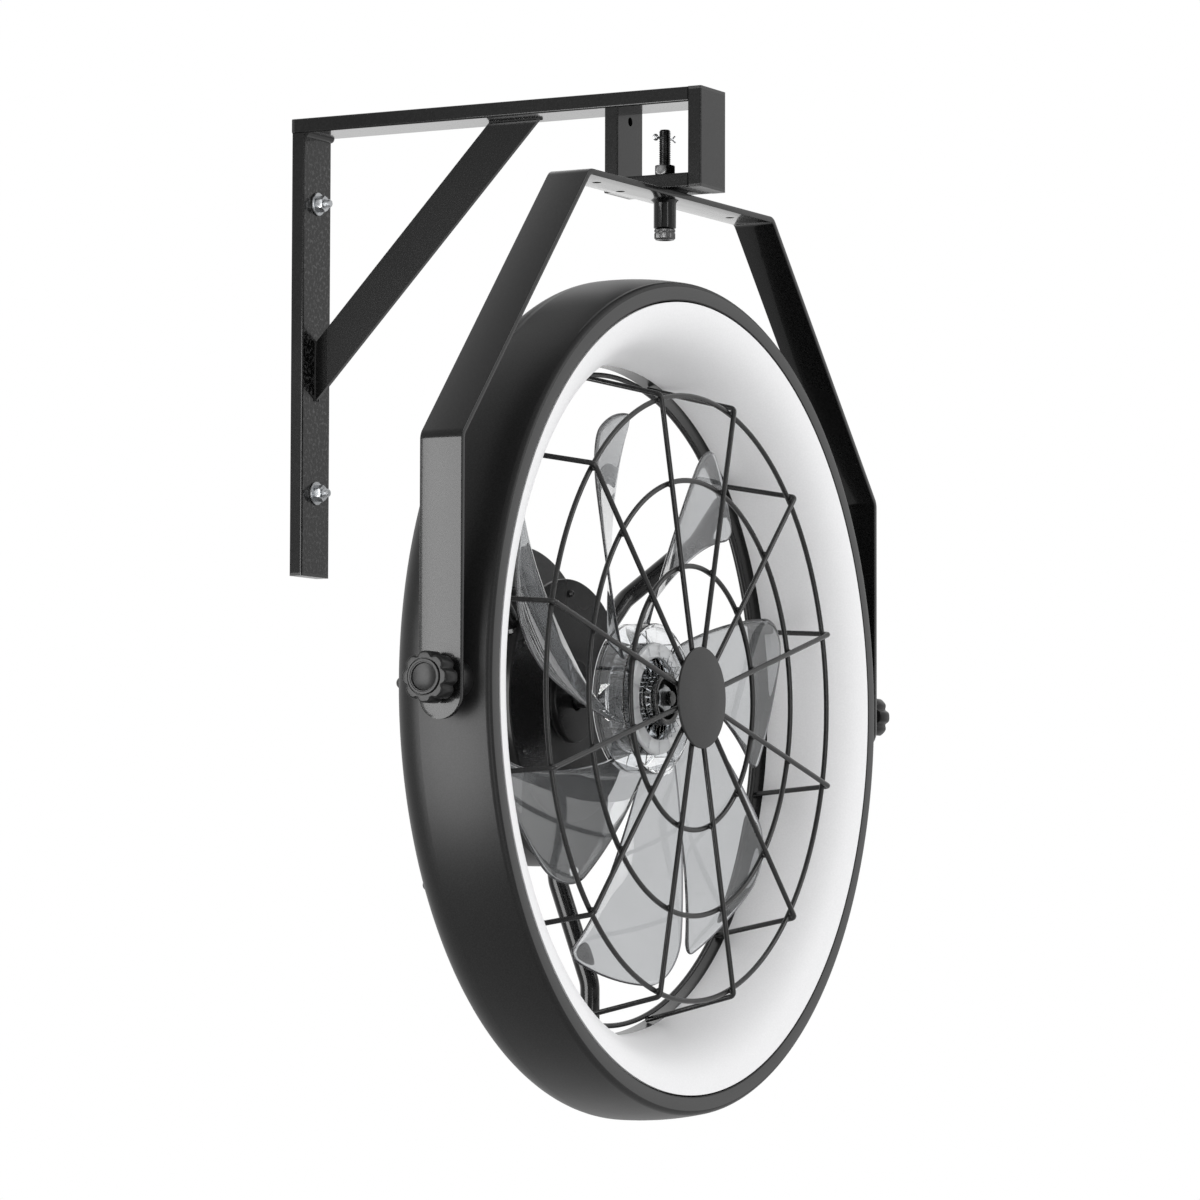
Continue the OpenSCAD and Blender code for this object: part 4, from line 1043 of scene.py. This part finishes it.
def swivel():
    """Threaded bolt with a knurled head, washer and nut, and the sleeve welded under the yoke."""
    bolt_low, bolt_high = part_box("swivel_bolt")
    washer_low, washer_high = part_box("swivel_washer")
    head_r = HEAD_D / 2

    def knurled(a):
        return head_r - KNURL_DEPTH * (0.5 + 0.5 * math.cos(KNURLS * a))

    plain_r = head_r - 2 * KNURL_DEPTH
    (band_low, band_end), (band_start, band_high) = KNURL_BANDS
    profile = [(0.55 * head_r, 0.8 * MM), (0.62 * head_r, 0)]
    profile += [(head_r - HEAD_EDGE, 0), (head_r - KNURL_DEPTH, 0.8 * MM)]
    profile += [(knurled, band_low), (knurled, band_end), (plain_r, band_end + 0.2 * MM)]
    profile += [(plain_r, band_start - 0.2 * MM), (knurled, band_start), (knurled, band_high)]
    profile += [(head_r - HEAD_EDGE, HEAD_H)]
    bm = bmesh.new()
    add_loft(bm, turned(BOLT @ Matrix.Translation((0, 0, bolt_low[2])), profile, 6 * KNURLS))
    add_thread(bm, BOLT, BOLT_D, BOLT_PITCH, bolt_low[2] + HEAD_H - MM, bolt_high[2])
    piece("swivel_bolt_threaded", bm, DARK_STEEL, "bracket", "dark_steel", "swivel_bolt")

    bm = bmesh.new()
    add_washer(bm, BOLT @ Matrix.Translation((0, 0, washer_low[2])), WASHER_D, WASHER_T, BOLT_D / 2)
    piece("swivel_washer_flat", bm, DARK_STEEL, "bracket", "dark_steel", "swivel_washer")

    bm = bmesh.new()
    add_nut(bm, BOLT @ Matrix.Translation((0, 0, washer_high[2])), NUT_AF, NUT_H, NUT_BORE_R)
    piece("swivel_nut_hex", bm, DARK_STEEL, "bracket", "dark_steel", "swivel_nut")

    # Sleeve, its weld to the yoke at the top
    r = SLEEVE_D / 2
    profile = [(SLEEVE_BORE_R, 0), (r - SLEEVE_EDGE, 0), (r, SLEEVE_EDGE), (r, SLEEVE_L - 2 * MM)]
    profile += [(r + 0.9 * MM, SLEEVE_L - 0.9 * MM), (r + 2 * MM, SLEEVE_L), (SLEEVE_BORE_R, SLEEVE_L)]
    bm = bmesh.new()
    place = BOLT @ Matrix.Translation((0, 0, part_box("swivel_sleeve")[0][2]))
    add_loft(bm, turned(place, profile, 64), loop=True)
    piece("swivel_sleeve_welded", bm, POWDER, "yoke", "black_paint", "swivel_sleeve")


PIN_TURN = math.radians(-20)
PIN_DROP = 5.6 * MM
PIN_REACH = 6.7 * MM
PIN_GAP = 0.2 * MM
PIN_LEG_R = 0.6 * MM
PIN_EYE_R = 1.6 * MM
PIN_EYE_WIRE_R = 0.8 * MM
# Ends of the bent legs, out from the bolt and up from the pin's middle
PIN_UPPER_END = (PIN_REACH + 2.2 * MM, 2.2 * MM)
PIN_LOWER_END = (PIN_REACH + 2.6 * MM, -1.8 * MM)


def cotter_pin():
    """Split pin: an eye, two legs through the bolt, and their bent ends."""
    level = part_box("swivel_bolt")[1][2] - PIN_DROP
    upper = [(-PIN_REACH, PIN_GAP), (PIN_REACH, PIN_GAP), PIN_UPPER_END]
    lower = [(-PIN_REACH, -PIN_GAP), (PIN_REACH, -PIN_GAP), PIN_LOWER_END]
    bm = bmesh.new()
    for leg in (upper, lower):
        add_tube(bm, rounded_path([(x, 0, z) for x, z in leg], MM, 4), PIN_LEG_R, 12)
    eye = arc(-PIN_REACH - PIN_EYE_R, 0, PIN_EYE_R, 25, 335, 10)
    add_tube(bm, [(x, 0, z) for x, z in eye], PIN_EYE_WIRE_R, 12)
    place = BOLT @ Matrix.Translation((0, 0, level)) @ Matrix.Rotation(PIN_TURN, 4, "Z")
    bmesh.ops.transform(bm, matrix=place, verts=bm.verts)
    piece("cotter_pin_wire", bm, ZINC, "bracket", "zinc_steel", "cotter_pin")


# Wall fixings, seated on the front of the post

FIXING_SPACING = 200 * MM
FIXING_D = 6 * MM
FIXING_L = 10.8 * MM
FIXING_PITCH = 1.0 * MM
FIXING_WASHER_D = 16 * MM
FIXING_WASHER_T = 1.5 * MM
FIXING_NUT_AF = 10 * MM
FIXING_NUT_H = 5 * MM
FIXING_BORE_R = FIXING_D / 2 - 0.3 * MM


def wall_fixings():
    """Stud, washer and nut in each of the post's two holes."""
    bm = bmesh.new()
    for z in (-FIXING_SPACING / 2, FIXING_SPACING / 2):
        place = axis_place((0, WALL_FACE, z), (0, -1, 0))
        seat = place @ Matrix.Translation((0, 0, FIXING_WASHER_T))
        add_washer(bm, place, FIXING_WASHER_D, FIXING_WASHER_T, FIXING_D / 2)
        add_nut(bm, seat, FIXING_NUT_AF, FIXING_NUT_H, FIXING_BORE_R)
        add_thread(bm, place, FIXING_D, FIXING_PITCH, 0, FIXING_L)
    piece("wall_fixings", bm, CORE_STEEL, "bracket", "zinc_steel")


# Knobs, their profile from the foot on the yoke to the face

KNOB_R = 16 * MM
KNOB_LOBES = 8
KNOB_NOTCH = 2.1 * MM
# Radius and height in millimetres
KNOB_FOOT = [(4, 0), (10.6, 0), (11.2, 0.6), (11.2, 4)]
KNOB_FACE = [(11.75, 19.1), (11.6, 18.5), (11.2, 18.5), (11, 19.7), (10.7, 20),
             (9.5, 20), (9.3, 19.65), (8.7, 19.55), (8.4, 19.2), (8.2, 18.4)]
# Inset from the lobed outline, and height in millimetres
KNOB_SIDE = [(1.6, 4), (0.5, 4.5), (0, 5.6), (0, 17.6), (0.25, 18.4), (0.8, 18.9), (1.5, 19.1)]
DISH_R = 8.2 * MM
DISH_Z = 17 * MM
DISH_RISE = 1.4 * MM


def knob(name, side):
    """Star knob: lobes, and a grooved ring round a dished recess on its face."""

    def lobed(inset):
        def radius(a):
            notch = 0.5 - 0.5 * math.cos(KNOB_LOBES * a)
            return KNOB_R - KNOB_NOTCH * notch ** 3 - inset
        return radius

    profile = [(r * MM, z * MM) for r, z in KNOB_FOOT]
    profile += [(lobed(inset * MM), z * MM) for inset, z in KNOB_SIDE]
    profile += [(r * MM, z * MM) for r, z in KNOB_FACE]
    for share in (0.85, 0.7, 0.55, 0.4, 0.25, 0.1):
        profile.append((DISH_R * share, DISH_Z + DISH_RISE * share ** 2))
    low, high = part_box(name)
    foot_x = high[0] if side < 0 else low[0]
    bm = bmesh.new()
    add_loft(bm, turned(axis_place((foot_x, BOLT_Y, FAN_Z), (side, 0, 0)), profile, 192))
    piece(name + "_star", bm, KNOB, name, "black_plastic", name)


# Bracket details

BEAD_R = 1.5 * MM
BEAD_STEPS = 14
BRACE_W = 28 * MM


def weld_beads():
    """Small fillet welds where the brace meets the post and the arm."""
    arm_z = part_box("arm_tube")[0][2]
    post_low, post_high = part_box("wall_post")
    low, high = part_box("brace")
    angle = math.atan2(high[2] - low[2], high[1] - low[1])
    foot_rise = BRACE_W / math.cos(angle)
    head_run = BRACE_W / math.sin(angle)
    bm = bmesh.new()
    for x in (low[0], high[0]):
        foot = [Vector((x, high[1], low[2])), Vector((x, high[1], low[2] + foot_rise))]
        head = [Vector((x, low[1] + head_run, high[2])), Vector((x, low[1], high[2]))]
        for start, end in (foot, head):
            path = [start.lerp(end, i / BEAD_STEPS) for i in range(BEAD_STEPS + 1)]
            add_tube(bm, path, BEAD_R, 10)
    corner = [(x, post_low[1], arm_z) for x in (post_low[0] + MM, post_high[0] - MM)]
    add_tube(bm, corner, 2 * BEAD_R)
    piece("brace_welds", bm, POWDER, "bracket", "black_paint")


def dressed_nodes():
    """Gives the CAD nodes that stay their finished materials."""
    dress(POWDER, "wall_post", "arm_tube", "inner_strut", "bottom_bar", "end_bar", "brace")
    dress(PLASTIC, "tube_plugs", "cable_gland")
    dress(RUBBER, "friction_disc")
    dress(SHELL, "driver_box")
    dress(CORE_STEEL, "stator_core", "rotor_core")
    dress(COPPER, "stator_coils")
    dress(ZINC, "front_bearing", "rear_bearing", "knob_left_stud", "knob_right_stud")
    # The post's front face takes the speckled coat, its lighter specks painted glints of the front light
    paint_lit_front(frame["nodes"]["wall_post"].data, SPECKLED_GLINTS, -0.9)


# Studio

FLOOR_DROP = 0.75
FLOOR_R = 5.0
FLOOR_SIDES = 96
FLOOR_GREY = 0.86
# Share of pure white in the floor that the eye sees
FLOOR_GLOW = 0.6
SKY_STRENGTH = 0.80
# Lamps are aimed at the fan's middle, and soft boxes straight across at its near side
AIM = (0, BOLT_Y, -0.15)
SOFT_BOX_AIM_X = -0.3


def white_to_eye(nodes, links, rest, shown, target):
    """Mixes in the white shader for camera, glossy and transmission rays."""
    path = nodes.new("ShaderNodeLightPath")
    eye = path.outputs["Is Camera Ray"]
    for ray in ("Is Glossy Ray", "Is Transmission Ray"):
        either = nodes.new("ShaderNodeMath")
        either.operation = "MAXIMUM"
        links.new(eye, either.inputs[0])
        links.new(path.outputs[ray], either.inputs[1])
        eye = either.outputs[0]
    mix = nodes.new("ShaderNodeMixShader")
    links.new(eye, mix.inputs[0])
    links.new(rest, mix.inputs[1])
    links.new(shown, mix.inputs[2])
    links.new(mix.outputs[0], target)


def floor():
    """Pale floor well below the fan, near white to the eye."""
    material = bpy.data.materials.new("studio_floor")
    material.use_nodes = True
    nodes = material.node_tree.nodes
    links = material.node_tree.links
    nodes.clear()
    out = nodes.new("ShaderNodeOutputMaterial")
    paint = nodes.new("ShaderNodeBsdfDiffuse")
    paint.inputs["Color"].default_value = (FLOOR_GREY, FLOOR_GREY, FLOOR_GREY, 1)
    glow = nodes.new("ShaderNodeEmission")
    glow.inputs["Strength"].default_value = 1.0
    bright = nodes.new("ShaderNodeMixShader")
    bright.inputs[0].default_value = FLOOR_GLOW
    links.new(paint.outputs[0], bright.inputs[1])
    links.new(glow.outputs[0], bright.inputs[2])
    white_to_eye(nodes, links, paint.outputs[0], bright.outputs[0], out.inputs["Surface"])
    bm = bmesh.new()
    place = Matrix.Translation((0, 0, cad_box[0][2] - FLOOR_DROP))
    bmesh.ops.create_circle(bm, cap_ends=True, segments=FLOOR_SIDES, radius=FLOOR_R, matrix=place)
    plane = to_object("floor", bm)
    plane.data.materials.append(material)


def world():
    """Even white light from all sides, plain white to the eye."""
    sky = bpy.data.worlds.new("studio")
    bpy.context.scene.world = sky
    sky.use_nodes = True
    nodes = sky.node_tree.nodes
    links = sky.node_tree.links
    nodes.clear()
    out = nodes.new("ShaderNodeOutputWorld")
    fill = nodes.new("ShaderNodeBackground")
    fill.inputs["Strength"].default_value = SKY_STRENGTH
    white = nodes.new("ShaderNodeBackground")
    white.inputs["Strength"].default_value = 1.0
    for background in (fill, white):
        background.inputs["Color"].default_value = (1, 1, 1, 1)
    white_to_eye(nodes, links, fill.outputs[0], white.outputs[0], out.inputs["Surface"])


def lamp(name, place, aim, size, power, height=None):
    """Area lamp: a disc, or a rectangle where a height is given."""
    data = bpy.data.lights.new(name, "AREA")
    data.shape = "RECTANGLE" if height else "DISK"
    data.size = size
    data.size_y = height or size
    data.energy = power
    made = bpy.data.objects.new(name, data)
    made.location = place
    made.rotation_euler = (Vector(aim) - Vector(place)).to_track_quat("-Z", "Y").to_euler()
    bpy.context.scene.collection.objects.link(made)
    return made


def soft_box(name, place, width, height, power):
    """Upright box that shows only as a reflection on gloss and lights no colour."""
    made = lamp(name, place, (SOFT_BOX_AIM_X, BOLT_Y, place[2]), width, power, height)
    made.visible_diffuse = False
    made.visible_camera = False
    made.visible_transmission = False


def camera():
    """The photograph's camera."""
    data = bpy.data.cameras.new("camera")
    data.sensor_width = SENSOR_MM
    data.lens = FOCAL_PIXELS / PHOTO_PIXELS * SENSOR_MM
    made = bpy.data.objects.new("camera", data)
    flat = math.cos(VIEW_ELEVATION)
    look = Vector((math.sin(VIEW_AZIMUTH) * flat, math.cos(VIEW_AZIMUTH) * flat,
                   math.sin(VIEW_ELEVATION)))
    turn = look.to_track_quat("-Z", "Y").to_matrix().to_4x4()
    made.matrix_world = Matrix.Translation(CAMERA_PLACE) @ turn @ Matrix.Rotation(VIEW_ROLL, 4, "Z")
    bpy.context.scene.collection.objects.link(made)
    bpy.context.scene.camera = made


camera()
world()
floor()
lamp("key", (1.2, -2.6, 1.3), AIM, 1.8, 26)
soft_box("side_box", (-1.16, 0.08, -0.40), 0.75, 1.1, 36)
soft_box("front_strip", (-1.2, -2.1, -0.25), 0.28, 1.6, 12)
lamp("under", (-0.8, -1.6, -1.2), AIM, 1.4, 8)
bpy.context.scene.view_settings.view_transform = "Standard"

dressed_nodes()
housing_shell()
back_plate()
bell_mouth()
housing_screws()
pivot_bosses()
guard()
fan_blades()
hub()
hub_core()
motor_housing()
motor_screws()
support_arms()
yoke()
swivel()
cotter_pin()
wall_fixings()
knob("knob_left", -1)
knob("knob_right", 1)
weld_beads()
